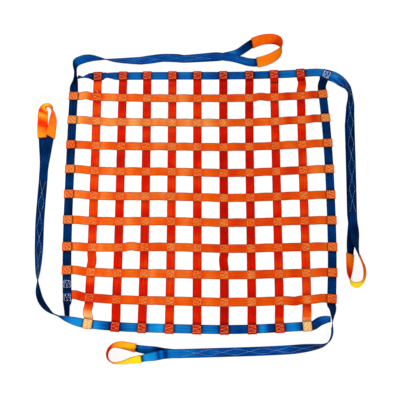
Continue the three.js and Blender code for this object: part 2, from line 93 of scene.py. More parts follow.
# Spans that stand up higher than the rest, in mm: (strap, span) and how high
HIGH_SPANS = {
    ("strap_across_1", 0): 9,
    ("strap_across_2", 0): 8,
    ("strap_across_9", 0): 9,
    ("strap_across_9", 9): 9,
    ("strap_across_2", 9): 8,
    ("strap_down_1", 0): 10,
    ("strap_down_1", 9): 10,
    ("strap_down_9", 9): 10,
}
# Spans that bow out sideways, towards the strap's own across direction, in mm
SIDE_BOWS = {
    ("strap_across_1", 0): 5,
    ("strap_across_1", 7): 5,
    ("strap_across_2", 1): -5,
    ("strap_across_7", 2): 5,
    ("strap_across_9", 8): -6,
    ("strap_down_1", 7): 5,
    ("strap_down_1", 9): -8,
    ("strap_down_6", 7): -5,
    ("strap_down_9", 0): 6,
}
# Strap ends whose cut end lies further in than the rest, in mm, and how far that cut is out of square, in mm
LONG_TAILS = {("strap_down_8", "start"): (55, 9), ("strap_down_9", "start"): (43, 2)}
BARE_ENDS = [("strap_across_9", "start")]  # only tucked under the border

# Borders: the way each runs, the way out of the net, and how far it bows out at its start, middle and end,
# in mm
BORDERS = {
    "left": ((0, 1), (-1, 0), (-43, -14, -19)),
    "top": ((1, 0), (0, 1), (-9, -1, 25)),
    "right": ((0, -1), (1, 0), (-20, 13, -22)),
    "bottom": ((-1, 0), (0, -1), (-28, -1, -54)),
}
MEETING_ROUNDS = 4


def make_line(along, across, grid, lay, sway=0.0):
    """The middle line of a strap or border: its directions, place on the grid, and how it lies off that."""
    return {
        "along": np.array(along, float),
        "across": np.array(across, float),
        "grid": grid,
        "lay": np.array(lay) * MM,
        "sway": sway * MM,
    }


def line_point(line, distance):
    """Points in plan, at distances along a line from the net's middle."""
    distance = np.asarray(distance, float)
    start, middle, end = line["lay"]
    share = distance / HALF_NET
    swing = np.where(distance < 0, start, end) - middle
    sway = line["sway"] * np.sin(SWAY_TURN * share) * (1 - share**2)
    offset = line["grid"] + middle + swing * np.abs(share) ** LAY_POWER - sway
    return distance[..., None] * line["along"] + offset[..., None] * line["across"]


def meeting(line, other):
    """Distance along a line at which it meets another."""
    distance = 0.0
    for _ in range(MEETING_ROUNDS):
        other_distance = line_point(line, distance) @ other["along"]
        distance = line_point(other, other_distance) @ line["along"]
    return float(distance)


def unit(vectors):
    """Vectors of the same directions, one long."""
    return vectors / np.linalg.norm(vectors, axis=-1, keepdims=True)


def left_of(headings):
    """The direction in plan to the left of each heading."""
    return np.stack([-headings[..., 1], headings[..., 0]], axis=-1)


class Web:
    """A length of webbing as it lies: the middle, width and face direction of each station along it."""

    def __init__(self, middle, width):
        steps = np.linalg.norm(np.diff(middle, axis=0), axis=1)
        self.middle = middle
        self.along = np.concatenate([[0.0], np.cumsum(steps)])
        self.heading = unit(np.gradient(middle, self.along, axis=0))
        self.face = unit(np.cross(self.heading, width))
        self.width = np.cross(self.face, self.heading)
        self.ripple = np.zeros((len(self.along), 2))  # how far each selvedge is waved off the flat
        self.span = np.zeros(len(self.along))  # the span of a strap that each station belongs to
        self.sewn = []  # middles of its crossings with other straps
        self.tails = []  # middles of its ends that are folded over a border
        self.lines = []  # distances along it where something over it leaves a painted shadow line

    def lean(self, degrees):
        """Turns each station about its own length."""
        turn = np.radians(degrees)[:, None]
        width, face = self.width, self.face
        self.width = width * np.cos(turn) + face * np.sin(turn)
        self.face = face * np.cos(turn) - width * np.sin(turn)

    def place_of(self, point):
        """Distance along the webbing of the station nearest to a point."""
        return self.along[np.linalg.norm(self.middle - point, axis=1).argmin()]

    def at(self, across, along, side, lift):
        """Points on one side of the webbing, with the directions of its width, length and face there."""
        parts = [
            np.stack([np.interp(along, self.along, part[:, axis]) for axis in range(3)], axis=1)
            for part in (self.middle, self.width, self.heading, self.face)
        ]
        middle, width, heading, face = parts
        face = face * side
        points = middle + width * across[:, None] + face * (WEB_THICK / 2 + lift)
        return points, width, heading, face


def smooth_run(share, start, start_slope, end, end_slope):
    """Values on a smooth curve from start to end, at shares of the way, with the slopes it has at both."""
    s = share[:, None]
    return (
        (2 * s**3 - 3 * s**2 + 1) * start
        + (s**3 - 2 * s**2 + s) * start_slope
        + (3 * s**2 - 2 * s**3) * end
        + (s**3 - s**2) * end_slope
    )


def bend(start, start_heading, end, end_heading, share):
    """Points on a smooth bend between two straight runs."""
    reach = np.linalg.norm(end - start)
    return smooth_run(share, start, reach * start_heading, end, reach * end_heading)


def border_end(border, strap):
    """Where a strap meets a border: the border's middle there, and the direction out of the net."""
    distance = meeting(border, strap)
    before, after = line_point(border, np.array([distance - SEWN_HALF, distance + SEWN_HALF]))
    edge = unit(after - before)
    outwards = np.array([edge[1], -edge[0]])
    if outwards @ border["across"] < 0:
        outwards = -outwards
    return (before + after) / 2, outwards


def folded_end(name, end, middle, outwards):
    """The end of a strap, outwards: under the border, round its edge and back on top. Also its width."""
    edge = WEB_WIDTH / 2
    if (name, end) in BARE_ENDS:
        reach = np.linspace(-SEWN_HALF, BARE_END_REACH, SEWN_STEPS)
        height = np.full(SEWN_STEPS, FIRST_PLY)
        slant = 0.0
    else:
        inset, slant = LONG_TAILS.get((name, end), (TAIL_INSET / MM, 0))
        turn = np.linspace(0, np.pi, FOLD_STEPS + 1)
        under = np.linspace(-SEWN_HALF, edge, SEWN_STEPS)[:-1]
        on_top = np.linspace(edge, 0, TOP_STEPS + 1)[1:]
        over = np.concatenate([on_top, np.linspace(0, -inset * MM, TAIL_STEPS + 1)[1:]])
        reach = np.concatenate([under, edge + LAYER * np.sin(turn), over])
        round_edge = SECOND_PLY - LAYER * np.cos(turn)
        height = np.concatenate([under * 0 + FIRST_PLY, round_edge, over * 0 + THIRD_PLY])
    plan = middle + reach[:, None] * outwards
    width = np.broadcast_to(left_of(outwards), plan.shape).copy()
    width[-1] += outwards * slant * MM / WEB_WIDTH
    return np.column_stack([plan, height]), np.column_stack([width, reach * 0])


def span_bow(name, strap_index, span):
    """How high a span of a strap bows up."""
    if (name, span) in HIGH_SPANS:
        return HIGH_SPANS[name, span] * MM
    return BOW_MEAN + BOW_SWING * math.sin(BOW_TURN_STRAP * strap_index + BOW_TURN_SPAN * span)


def waves(along, lengths, draw):
    """A slow random wave between about -1 and 1, made of a few lengths."""
    total = sum(np.sin(2 * np.pi * (along / length + draw.random())) for length in lengths)
    return total / math.sqrt(len(lengths))


START_TAIL, END_TAIL = -1, STRAP_COUNT + 1  # stand for the folded ends, where the spans are counted


def strap_web(name, strap_index, line, crossed, ply, start_border, end_border):
    """A strap from cut end to cut end. ply is the height of its middle where it crosses the other straps."""
    draw = np.random.default_rng([strap_index, int(ply / LAYER)])
    stops = [meeting(line, other) for other in crossed]
    start, start_out = border_end(start_border, line)
    end, end_out = border_end(end_border, line)
    ahead = unit(np.diff(line_point(line, np.array(stops)), axis=0))
    share = np.linspace(0, 1, SPAN_STEPS + 1)
    rise = share * share * (3 - 2 * share)
    plan, height, loose, spans = [], [], [], []
    for span in range(len(stops) + 1):
        near, near_heading, near_height = start - start_out * SEWN_HALF, -start_out, FIRST_PLY
        if span > 0:
            near = line_point(line, stops[span - 1] + SEWN_HALF)
            near_heading, near_height = ahead[min(span - 1, len(ahead) - 1)], ply
        far, far_heading, far_height = end - end_out * SEWN_HALF, end_out, FIRST_PLY
        if span < len(stops):
            far = line_point(line, stops[span] - SEWN_HALF)
            far_heading, far_height = ahead[min(span, len(ahead) - 1)], ply
        skewed = share ** draw.uniform(*BOW_SKEW)
        hump = 16 * skewed**2 * (1 - skewed) ** 2  # 1 at its top, level at both ends of the span
        side_bow = SIDE_BOWS.get((name, span), 0) * MM * line["across"]
        plan.append(bend(near, near_heading, far, far_heading, share) + side_bow * hump[:, None])
        slope = near_height + (far_height - near_height) * rise
        height.append(slope + span_bow(name, strap_index, span) * hump)
        loose.append(hump)
        spans.append(share * 0 + span)
        if span < len(stops):
            sewn = stops[span] + np.linspace(-SEWN_HALF, SEWN_HALF, SEWN_STEPS + 1)[1:-1]
            plan.append(line_point(line, sewn))
            height.append(sewn * 0 + ply)
            loose.append(sewn * 0)
            spans.append(sewn * 0 + span + 0.5)
    plan = np.concatenate(plan)
    width = left_of(unit(np.gradient(plan, axis=0)))
    run = np.column_stack([plan, np.concatenate(height)])
    run_width = np.column_stack([width, np.zeros(len(plan))])
    start_points, start_width = folded_end(name, "start", start, start_out)
    end_points, end_width = folded_end(name, "end", end, end_out)
    start_zero, end_zero = start_points[1:, 0] * 0, end_points[1:, 0] * 0
    web = Web(
        np.concatenate([start_points[:0:-1], run, end_points[1:]]),
        np.concatenate([-start_width[:0:-1], run_width, end_width[1:]]),
    )
    loose = np.concatenate([start_zero, *loose, end_zero])
    web.lean(SPAN_ROLL * loose * waves(web.along, ROLL_LENGTHS, draw))
    for edge in range(2):
        web.ripple[:, edge] = RIPPLE * loose * waves(web.along, RIPPLE_LENGTHS, draw)
    web.span = np.concatenate([start_zero + START_TAIL, *spans, end_zero + END_TAIL])
    web.sewn = [np.append(line_point(line, stop), ply) for stop in stops]
    web.tails = [np.append(start, THIRD_PLY), np.append(end, THIRD_PLY)]
    return web


# Section of the webbing, from one selvedge over the face to the middle, as shares of half the width, with a
# groove where the selvedge starts
PROFILE_ACROSS = np.array([1, 0.992, 0.968, 0.925, 0.885, 0.845, 0.5, 0])
SELVEDGE_ROUND = 1.7 * MM
GROOVE_AT = 0.885
GROOVE_DEPTH = 0.25 * MM
GROOVE_HALF = 0.03


def web_profile():
    """The section's outline, anticlockwise, as distances across and through the webbing."""
    share = np.concatenate([-PROFILE_ACROSS, PROFILE_ACROSS[-2::-1]])
    across = share * WEB_WIDTH / 2
    from_flat = np.maximum(np.abs(across) - WEB_WIDTH / 2 + SELVEDGE_ROUND, 0) / SELVEDGE_ROUND
    half = WEB_THICK / 2 * np.sqrt(np.maximum(1 - from_flat**2, 0))
    half = half - GROOVE_DEPTH * np.exp(-(((np.abs(share) - GROOVE_AT) / GROOVE_HALF) ** 2))
    half[[0, -1]] = 0
    lower = np.column_stack([across, -half])
    upper = np.column_stack([across[::-1], half[::-1]])
    return np.concatenate([lower[:-1], upper[:-1]])


def ring_quads(stations, around):
    """Quads between the closed sections of a sweep."""
    first = np.arange(around)
    beside = (first + 1) % around
    ring = np.column_stack([first, beside, beside + around, first + around])
    return (ring[None] + around * np.arange(stations - 1)[:, None, None]).reshape(-1, 4)


def add_piece(name, points, faces, uv, values):
    """A smooth mesh with a map laid out in metres and a few values at each of its points."""
    points[:, 2] = np.maximum(points[:, 2], 0)
    mesh = bpy.data.meshes.new(name)
    mesh.from_pydata(points.tolist(), [], faces)
    corner = np.zeros(len(mesh.loops), int)
    mesh.loops.foreach_get("vertex_index", corner)
    mesh.uv_layers.new(name="laid_flat").data.foreach_set("uv", uv[corner].ravel())
    for key, value in values.items():
        mesh.attributes.new(key, "FLOAT", "POINT").data.foreach_set("value", value)
    mesh.shade_smooth()
    mesh.update()
    piece = bpy.data.objects.new(name, mesh)
    bpy.context.scene.collection.objects.link(piece)
    return piece


def fit(piece, finish, slot_name, *nodes):
    """Gives a piece its finish and its place in the net, and hides the solids it stands for."""
    piece.data.materials.append(finish)
    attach(piece, "root")
    if nodes:
        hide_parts(*nodes)


SHADOW_LINE_REACH = 10 * MM  # reach of the painted shadow line beside what lies over the webbing
NO_BOX = 1.0  # distance that stands for no box stitch at all


def add_webbing(name, web, painted_light_and_tone):
    """The mesh of a length of webbing. tint is its painted light and shade at each station, -1 deep to 2 a
    painted highlight.
    """
    across, through = web_profile().T
    edge_share = across / (WEB_WIDTH / 2)
    wave = np.where(across < 0, web.ripple[:, :1], web.ripple[:, 1:]) * edge_share**2
    points = (
        web.middle[:, None]
        + web.width[:, None] * across[:, None]
        + web.face[:, None] * (through + wave)[:, :, None]
    )
    stations, around = points.shape[:2]
    uv = np.stack(np.broadcast_arrays(across, web.along[:, None]), axis=-1)
    # Burnt cut ends, and painted shadow lines beside what lies over the webbing
    burnt_end_and_shadow_line = np.zeros(stations)
    burnt_end_and_shadow_line[[0, -1]] = 1
    for line in web.lines:
        burnt_end_and_shadow_line = np.maximum(burnt_end_and_shadow_line, np.exp(-(((web.along - line) / SHADOW_LINE_REACH) ** 2)))
    folded = np.zeros(stations)
    for tail in web.tails:
        folded[np.abs(web.along - web.place_of(tail)) < WEB_WIDTH / 2] = 1
    from_box = np.full(stations, NO_BOX)
    for box in (*web.sewn, *web.tails):
        from_box = np.minimum(from_box, np.abs(web.along - web.place_of(box)))
    values = {"painted_light_and_tone": painted_light_and_tone, "burnt_end_and_shadow_line": burnt_end_and_shadow_line, "folded": folded, "from_box": from_box}
    values = {key: np.repeat(value, around) for key, value in values.items()}
    cut_ends = [list(range(around))[::-1], list(range(around * (stations - 1), around * stations))]
    faces = ring_quads(stations, around).tolist() + cut_ends
    return add_piece(name, points.reshape(-1, 3), faces, uv.reshape(-1, 2), values)


class Value:
    """A number, colour or place that a material's nodes work out at each point of a surface."""

    def __init__(self, socket):
        self.socket = socket

    def through(self, kind, inputs, output=0, **settings):
        """What a new node makes of its inputs, which are given by name or number."""
        node = self.socket.id_data.nodes.new(kind)
        for setting, choice in settings.items():
            setattr(node, setting, choice)
        for key, value in inputs.items():
            put(node.inputs[key], value)
        return Value(node.outputs[output])

    def calculated(self, operation, *others):
        """The number after one operation with others."""
        return self.through("ShaderNodeMath", dict(enumerate((self, *others))), operation=operation)

    def __add__(self, other):
        return self.calculated("ADD", other)

    def __sub__(self, other):
        return self.calculated("SUBTRACT", other)

    def __mul__(self, other):
        return self.calculated("MULTIPLY", other)

    def __truediv__(self, other):
        return self.calculated("DIVIDE", other)

    def __abs__(self):
        return self.calculated("ABSOLUTE")

    def sine(self):
        return self.calculated("SINE")

    def between(self, low, high, new_low=0.0, new_high=1.0):
        """The number moved from one range to another, and kept inside it."""
        return self.through("ShaderNodeMapRange", dict(enumerate((self, low, high, new_low, new_high))))


def put(socket, value):
    """Sets a socket, or links it to what other nodes work out."""
    if isinstance(value, Value):
        socket.id_data.links.new(value.socket, socket)
    else:
        socket.default_value = value


def parted(place):
    """The first two parts of a place."""
    node = place.socket.id_data.nodes.new("ShaderNodeSeparateXYZ")
    put(node.inputs[0], place)
    return Value(node.outputs[0]), Value(node.outputs[1])


def mottle(place, scale, detail=2.0):
    """Soft noise around a half."""
    return place.through("ShaderNodeTexNoise", {"Vector": place, "Scale": scale, "Detail": detail}, "Fac")


def stretched(place, scale):
    """A place with each part multiplied by a scale."""
    return place.through("ShaderNodeVectorMath", {0: place, 1: scale}, operation="MULTIPLY")


def slanted(place, degrees, size):
    """A place turned round, and then measured in shares of a size."""
    inputs = {"Vector": place, "Rotation": (0, 0, math.radians(degrees)), "Scale": (size, size, 1)}
    return place.through("ShaderNodeMapping", inputs, vector_type="TEXTURE")


def blended(share, first, second):
    """Two colours mixed by a share."""
    inputs = {"Factor": share, "A": first, "B": second}
    return share.through("ShaderNodeMix", inputs, "Result", data_type="RGBA")


def darkened(colour, light):
    """A colour with only a share of its light."""
    inputs = {"Factor": 1.0, "A": colour, "B": light}
    return colour.through("ShaderNodeMix", inputs, "Result", data_type="RGBA", blend_type="MULTIPLY")


def shaded(shade, colours):
    """The colour at a shade, from those that stand at -1, 0, 1 and 2."""
    colour = colours[0]
    for low, following in zip((-1.0, 0.0, 1.0), colours[1:]):
        colour = blended(shade.between(low, low + 1.0), colour, following)
    return colour


class Finish:
    """A material in the making: its shader, and the place of each point on the piece laid flat."""

    def __init__(self, name):
        self.material = bpy.data.materials.new(name)
        self.material.use_nodes = True
        nodes = self.material.node_tree.nodes
        self.shader = nodes["Principled BSDF"]
        laid_flat = nodes.new("ShaderNodeUVMap")
        laid_flat.uv_map = "laid_flat"
        self.flat = Value(laid_flat.outputs[0])
        self.across, self.along = parted(self.flat)

    def point_value(self, name):
        """A value kept at each point of the mesh."""
        return self.flat.through("ShaderNodeAttribute", {}, "Fac", attribute_name=name)

    def give(self, inputs):
        """Sets or links inputs of the shader, by name."""
        for name, value in inputs.items():
            put(self.shader.inputs[name], value)

    def emboss(self, height, depth, strength=1.0):
        """Makes the surface look raised where a height is large and sunk where it is small."""
        inputs = {"Height": height, "Distance": depth, "Strength": strength}
        self.give({"Normal": height.through("ShaderNodeBump", inputs)})


YARN_PITCH = 1.9 * MM  # across the webbing, from one warp yarn to the next
PICK_PITCH = 3.1 * MM  # along it, from one float of a yarn to the next
YARN_POWER, FLOAT_POWER = 0.6, 0.5  # how flat the top of a yarn is, across it and along a float
WEAVE_DEPTH = 0.25 * MM
WEAVE_STRENGTH = 0.8
GAP_LIGHT = 0.62  # share of the colour left in the gaps of the weave, as painted shade
GAP_END = 0.7  # height of the weave where a gap is over
NOISE_RANGE = (0.3, 0.7)  # where most of a soft noise lies
ROUGH_SCALE, ROUGH_BELOW, ROUGH_ABOVE = 60.0, 0.06, 0.08  # how the roughness changes over the webbing
CLOUD_SCALE, CLOUD_SHADE = 14.0, 0.5  # soft clouds of colour, and how far they change the shade
STREAK_SCALE, STREAK_SHADE = (170.0, 7.0, 1.0), 1.2  # streaks along the yarns
SELVEDGE_START, SELVEDGE_END = 19.5 * MM, 24.2 * MM  # where its painted shade starts and is deepest, from the middle
SELVEDGE_LIGHT = 0.36  # share of the colour left at the selvedge, as painted shade
RUBBED_SCALE, RUBBED_SHARE = 90.0, 0.4  # pale rubbed spots along its edge

BOX_HALF = 19 * MM  # half of each side of a box stitch
BOX_END = 24 * MM  # from its middle to where its dents stop and the painted shade beside it starts
STROKE_PITCH = 15 * MM  # from one stroke between the rows of stitches to the next
STROKE_SLANT = 50  # degrees that the strokes slant
STROKE_UNEVEN_SCALE, STROKE_UNEVEN = 45.0, 0.7  # how far they wander, in shares of the pitch
STROKE_SOFT = (-0.1, 0.6)  # from the rim of a stroke to its full depth
STROKE_SINK = 2.0  # how deep a stroke is, in depths of the weave
BESIDE_BOX = 0.55  # painted shade right beside a crossing: how far the colour goes to the deep one there
BESIDE_REACH = 50 * MM
HOLLOW_LIGHT = 0.6  # how much of the deep colour is left in the painted shade between the stitches
PUCKER_DEPTH = 0.5  # how far the strokes inside a box go to that colour at a crossing
TAIL_PUCKER_DEPTH = 0.8  # and on an end folded over a border
DENT_DEPTH = 0.6  # how far the line under its outer stitches does
DENT_HALF, DENT_FADED = 1.0 * MM, 3.5 * MM  # half the width of that line, and where it has gone
SHADE_UNDER_HIGHLIGHT = 0.35  # share of both that shows under the painted highlight
PAINTED_HIGHLIGHT_FROM, PAINTED_HIGHLIGHT = 0.9, 2.0  # shades where the painted highlight starts, and where it is full
BURNT_END_AND_SHADOW_COLOUR = (0.006, 0.003, 0.004, 1.0)  # a burnt cut end, and the painted shadow line beside what lies over the webbing
BURNT_END_AND_SHADOW_SHARE = 0.9


def webbing_finish(name, colours, shine_colour, roughness=0.5, shine=0.5):
    """Woven polyester webbing: rows of yarn floats, set half a float apart, with worn selvedges and painted
    shade.

    The four colours are the deep, the plain, the pale and the painted-highlight one, for painted light and
    shade.
    """
    deep, _, pale, _ = colours
    finish = Finish(name)
    flat, across, along = finish.flat, finish.across, finish.along

    yarn = across / YARN_PITCH
    half_step = yarn.calculated("FLOOR").calculated("MODULO", 2.0) * 0.5
    rib = abs((yarn * math.pi).sine())
    swell = abs(((along / PICK_PITCH + half_step) * math.pi).sine())
    weave = rib.calculated("POWER", YARN_POWER) * swell.calculated("POWER", FLOAT_POWER)

    cloudy = (mottle(flat, CLOUD_SCALE) - 0.5) * CLOUD_SHADE
    streaks = (mottle(stretched(flat, STREAK_SCALE), 1.0) - 0.5) * STREAK_SHADE
    # The painted light and shade of each station, with random clouds and streaks of tone
    shade = finish.point_value("painted_light_and_tone") + cloudy + streaks
    colour = shaded(shade, colours)
    # Painted shade in the gaps of the weave
    colour = darkened(colour, weave.between(0.0, GAP_END, GAP_LIGHT, 1.0))
    edge = abs(across)
    # Painted shade along each selvedge
    colour = darkened(colour, edge.between(SELVEDGE_START, SELVEDGE_END, 1.0, SELVEDGE_LIGHT))
    rubbed = edge.between(SELVEDGE_END, WEB_WIDTH / 2) * mottle(flat, RUBBED_SCALE)
    colour = blended(rubbed * RUBBED_SHARE, colour, pale)

    from_box = finish.point_value("from_box")
    off_box = from_box.calculated("MAXIMUM", edge) - BOX_HALF
    dent = abs(off_box).between(DENT_HALF, DENT_FADED, 1.0, 0.0)
    dent = dent * from_box.between(BOX_END - 1 * MM, BOX_END + 1 * MM, 1.0, 0.0)
    uneven = mottle(flat, STROKE_UNEVEN_SCALE) * STROKE_UNEVEN
    stroke_place = parted(slanted(flat, STROKE_SLANT, STROKE_PITCH))[1] + uneven
    strokes = (stroke_place * (2 * math.pi)).sine()
    pucker = off_box.between(-1 * MM, 1 * MM, 1.0, 0.0) * strokes.between(*STROKE_SOFT)
    # Painted shade right beside each crossing and folded end
    beside_box = from_box.between(BOX_END, BESIDE_REACH, BESIDE_BOX, 0.0)
    beside_box = beside_box * from_box.between(BOX_END - 2 * MM, BOX_END)
    colour = blended(beside_box, colour, deep)
    # Painted shade in the puckers between the stitches and in the dent under the outer ones
    pucker_depth = finish.point_value("folded").between(0.0, 1.0, PUCKER_DEPTH, TAIL_PUCKER_DEPTH)
    sunk = (pucker * pucker_depth).calculated("MAXIMUM", dent * DENT_DEPTH)
    sunk = sunk * shade.between(PAINTED_HIGHLIGHT_FROM, PAINTED_HIGHLIGHT, 1.0, SHADE_UNDER_HIGHLIGHT)
    colour = blended(sunk, colour, (*(part * HOLLOW_LIGHT for part in deep[:3]), 1.0))
    # Burnt cut ends and painted shadow lines
    colour = blended(finish.point_value("burnt_end_and_shadow_line") * BURNT_END_AND_SHADOW_SHARE, colour, BURNT_END_AND_SHADOW_COLOUR)

    rough_range = (roughness - ROUGH_BELOW, roughness + ROUGH_ABOVE)
    finish.emboss(weave - (pucker * STROKE_SINK + dent), WEAVE_DEPTH, WEAVE_STRENGTH)
    finish.give({
        "Base Color": colour,
        "Roughness": mottle(flat, ROUGH_SCALE).between(*NOISE_RANGE, *rough_range),
        "Tangent": flat.through("ShaderNodeTangent", {}, direction_type="UV_MAP", uv_map="laid_flat"),
        "Anisotropic": 0.7,
        "Specular IOR Level": shine,
        "Specular Tint": shine_colour,
        "Sheen Weight": 0.04,
        "Sheen Roughness": 0.4,
        "Sheen Tint": shine_colour,
    })
    return finish.material


# Painted light and shade of each strap at its start, middle and end: -1 deep, 0 plain, 1 pale and 2 a painted
# highlight
DOWN_SHADE = [
    (0.45, 0.35, 0.3), (-0.2, -0.2, -0.2), (-0.1, -0.1, -0.05), (0.2, 0.15, 0.25), (0.0, 0.05, 0.0),
    (-0.4, -0.65, -0.7), (-0.5, -0.4, -0.3), (0.0, -0.05, -0.05), (0.15, 0.3, 0.3),
]
# Spans and folded ends whose painted light and shade stand out: (strap, span) and how much paler or deeper,
# at a few places along it.
# Half numbers are the crossing after a span.
DOWN_SPAN_SHADE = {
    (1, START_TAIL): -1.2, (1, 0): (0.3, 0.5, -0.2), (1, 1): (-0.3, 0.2, -0.2), (1, 8): (0.6, -0.2, -0.9),
    (1, 9): (-0.3, 0.9, 1.5), (1, END_TAIL): 1.5,
    (6, START_TAIL): -0.3, (7, START_TAIL): -0.3,
    (8, 0): 0.2, (8, 9): (-0.3, 0.1, 1.0), (8, END_TAIL): 0.3,
    (9, START_TAIL): -0.7, (9, 0): (0.2, -0.1, 0.3), (9, 1): (-1.1, -0.4, -0.6), (9, 8): (0.0, 0.4, 0.1),
    (9, 9): (-0.2, 0.3, 1.0), (9, END_TAIL): 2.2,
}
SHADE_SWING = 0.2
SHADE_LENGTHS = (0.11, 0.19, 0.43)
SOFT_STATIONS = 4  # how many stations on each side a change of shade is spread over
DOWN_SHADE_SEED, ACROSS_SHADE_SEED = 77, 78


def strap_shade(web, strap_number, shades, span_shades, seed):
    """The painted light and shade along a strap: its own at start, middle and end, that of its spans, and
    some chance.
    """
    draw = np.random.default_rng([strap_number, seed])
    share = web.along / web.along[-1]
    shade = np.interp(share, (0, 0.5, 1), shades) + SHADE_SWING * waves(web.along, SHADE_LENGTHS, draw)
    own = share * 0
    for (strap, span), extra in span_shades.items():
        if strap == strap_number:
            here = np.flatnonzero(web.span == span)
            curve = np.atleast_1d(extra)
            own[here] += np.interp(np.linspace(0, 1, len(here)), np.linspace(0, 1, len(curve)), curve)
    soft = np.hanning(2 * SOFT_STATIONS + 1)
    return shade + np.convolve(np.pad(own, SOFT_STATIONS, "edge"), soft / soft.sum(), "valid")


# Painted shade: the across straps' orange webbing, deepened to red for how the light falls along the down
# straps
shaded_orange_webbing = webbing_finish(
    "shaded_orange_webbing",
    [(0.40, 0.003, 0.002, 1), (0.70, 0.009, 0.002, 1), (0.88, 0.09, 0.004, 1), (1.0, 0.66, 0.26, 1)],
    (1.0, 0.1, 0.02, 1),
)
down_lines = [
    make_line((0, -1), (1, 0), (index - MIDDLE_STRAP) * PITCH, lay) for index, lay in enumerate(DOWN_LAY)
]
across_lines = [
    make_line((1, 0), (0, 1), (MIDDLE_STRAP - index) * PITCH, lay, ACROSS_SWAY[index])
    for index, lay in enumerate(ACROSS_LAY)
]
border_lines = {
    side: make_line(along, out, HALF_NET, lay, BORDER_SWAY[side])
    for side, (along, out, lay) in BORDERS.items()
}

down_webs, down_straps = [], []
for index, line in enumerate(down_lines):
    name = f"strap_down_{index + 1}"
    web = strap_web(name, index, line, across_lines, FIRST_PLY, border_lines["top"], border_lines["bottom"])
    shade = strap_shade(web, index + 1, DOWN_SHADE[index], DOWN_SPAN_SHADE, DOWN_SHADE_SEED)
    strap = add_webbing(name + "_web", web, shade)
    fit(strap, shaded_orange_webbing, "down_webbing", name)
    down_webs.append(web)
    down_straps.append(strap)

# Across straps
# Nine lengths of orange polyester webbing, woven like the others. They lie on top of the down straps, are
# sewn to each of them with a box stitch, and are folded round the side borders at both ends.

# Painted light and shade of each strap at its start, middle and end, as for the down straps
ACROSS_SHADE = [
    (0.15, 0.25, -0.1), (0.6, 0.75, 0.1), (-0.1, 0.2, 0.0), (0.05, 0.1, 0.1), (0.15, 0.2, 0.05),
    (0.1, 0.1, 0.0), (0.1, 0.1, 0.0), (0.05, 0.2, 0.1), (-0.35, 0.3, 0.3),
]
# Painted shade: the spans right of the middle get less light and are deeper, the last one less so
ACROSS_FALL = {4: -0.05, 5: -0.3, 6: -0.65, 7: -0.6, 8: -0.6, 9: -0.3}
# Spans and folded ends whose painted light and shade stand out, as for the down straps
ACROSS_SPAN_SHADE = {
    (1, START_TAIL): 0.5, (1, 0): (0.5, 0.3, -0.8), (1, 0.5): -0.6, (1, 1): (-0.3, 0.2),
    (1, 8): (0.6, -0.4, 0.7), (1, 9): (0.5, -1.2, -0.3), (1, END_TAIL): 0.3,
    (2, START_TAIL): 0.3, (2, 8): (0.5, -0.9, 0.4), (2, 9): (0.8, -0.9, 0.0), (2, END_TAIL): 0.7,
    (3, START_TAIL): -0.2, (3, 0): -0.25, (3, 8): 0.45, (3, END_TAIL): 0.4,
    (4, START_TAIL): 0.7, (4, 8): -0.4, (4, 9): (0.5, 0.2), (4, END_TAIL): 0.3,
    (5, START_TAIL): 0.2, (5, END_TAIL): 0.3, (6, START_TAIL): 0.2, (6, END_TAIL): 0.25,
    (7, START_TAIL): 0.2, (7, 3): -0.4, (7, 5): -0.4, (7, END_TAIL): 0.15,
    (8, START_TAIL): 0.2, (8, 0): (-0.3, -0.6), (8, 8): (0.3, -0.3, 0.2), (8, 9): (0.2, -0.7),
    (8, END_TAIL): 0.05,
    (9, 0): (-0.6, -1.1), (9, 0.5): -1.2, (9, 1): (-1.2, -0.7), (9, 4): -0.3, (9, 8): (0.2, -0.4, -0.3),
    (9, 9): (-0.2, -0.6), (9, END_TAIL): -0.5,
}
orange_webbing = webbing_finish(
    "orange_webbing",
    [(0.64, 0.02, 0.003, 1), (0.82, 0.10, 0.004, 1), (0.86, 0.32, 0.07, 1), (0.95, 0.6, 0.3, 1)],
    (1.0, 0.35, 0.05, 1),
)
across_webs, across_straps = [], []
for index, line in enumerate(across_lines):
    name = f"strap_across_{index + 1}"
    web = strap_web(name, index, line, down_lines, SECOND_PLY, border_lines["left"], border_lines["right"])
    span_shades = {(index + 1, span): fall for span, fall in ACROSS_FALL.items()}
    for place, extra in ACROSS_SPAN_SHADE.items():
        span_shades[place] = np.add(span_shades.get(place, 0.0), extra)
    shade = strap_shade(web, index + 1, ACROSS_SHADE[index], span_shades, ACROSS_SHADE_SEED)
    strap = add_webbing(name + "_web", web, shade)
    fit(strap, orange_webbing, "across_webbing", name)
    across_webs.append(web)
    across_straps.append(strap)

# Edge webs
# Four lengths of blue polyester webbing. Each borders one side, runs on past the corner as a lifting leg,
# is folded back on itself into an eye, and lies doubled along the leg, sewn through with zigzags.

UP = np.array([0.0, 0.0, 1.0])
CORE_RISE = 3.15 * MM  # floor to the middle of two plies lying flat
PLY_OFFSET = LAYER / 2
SLEEVE_WIDTH = 62 * MM
SLEEVE_THICK = 6.6 * MM
EDGE_STEP = 7.5 * MM  # from one station to the next
FINE_STEPS = 24  # between two rows, where a route is measured

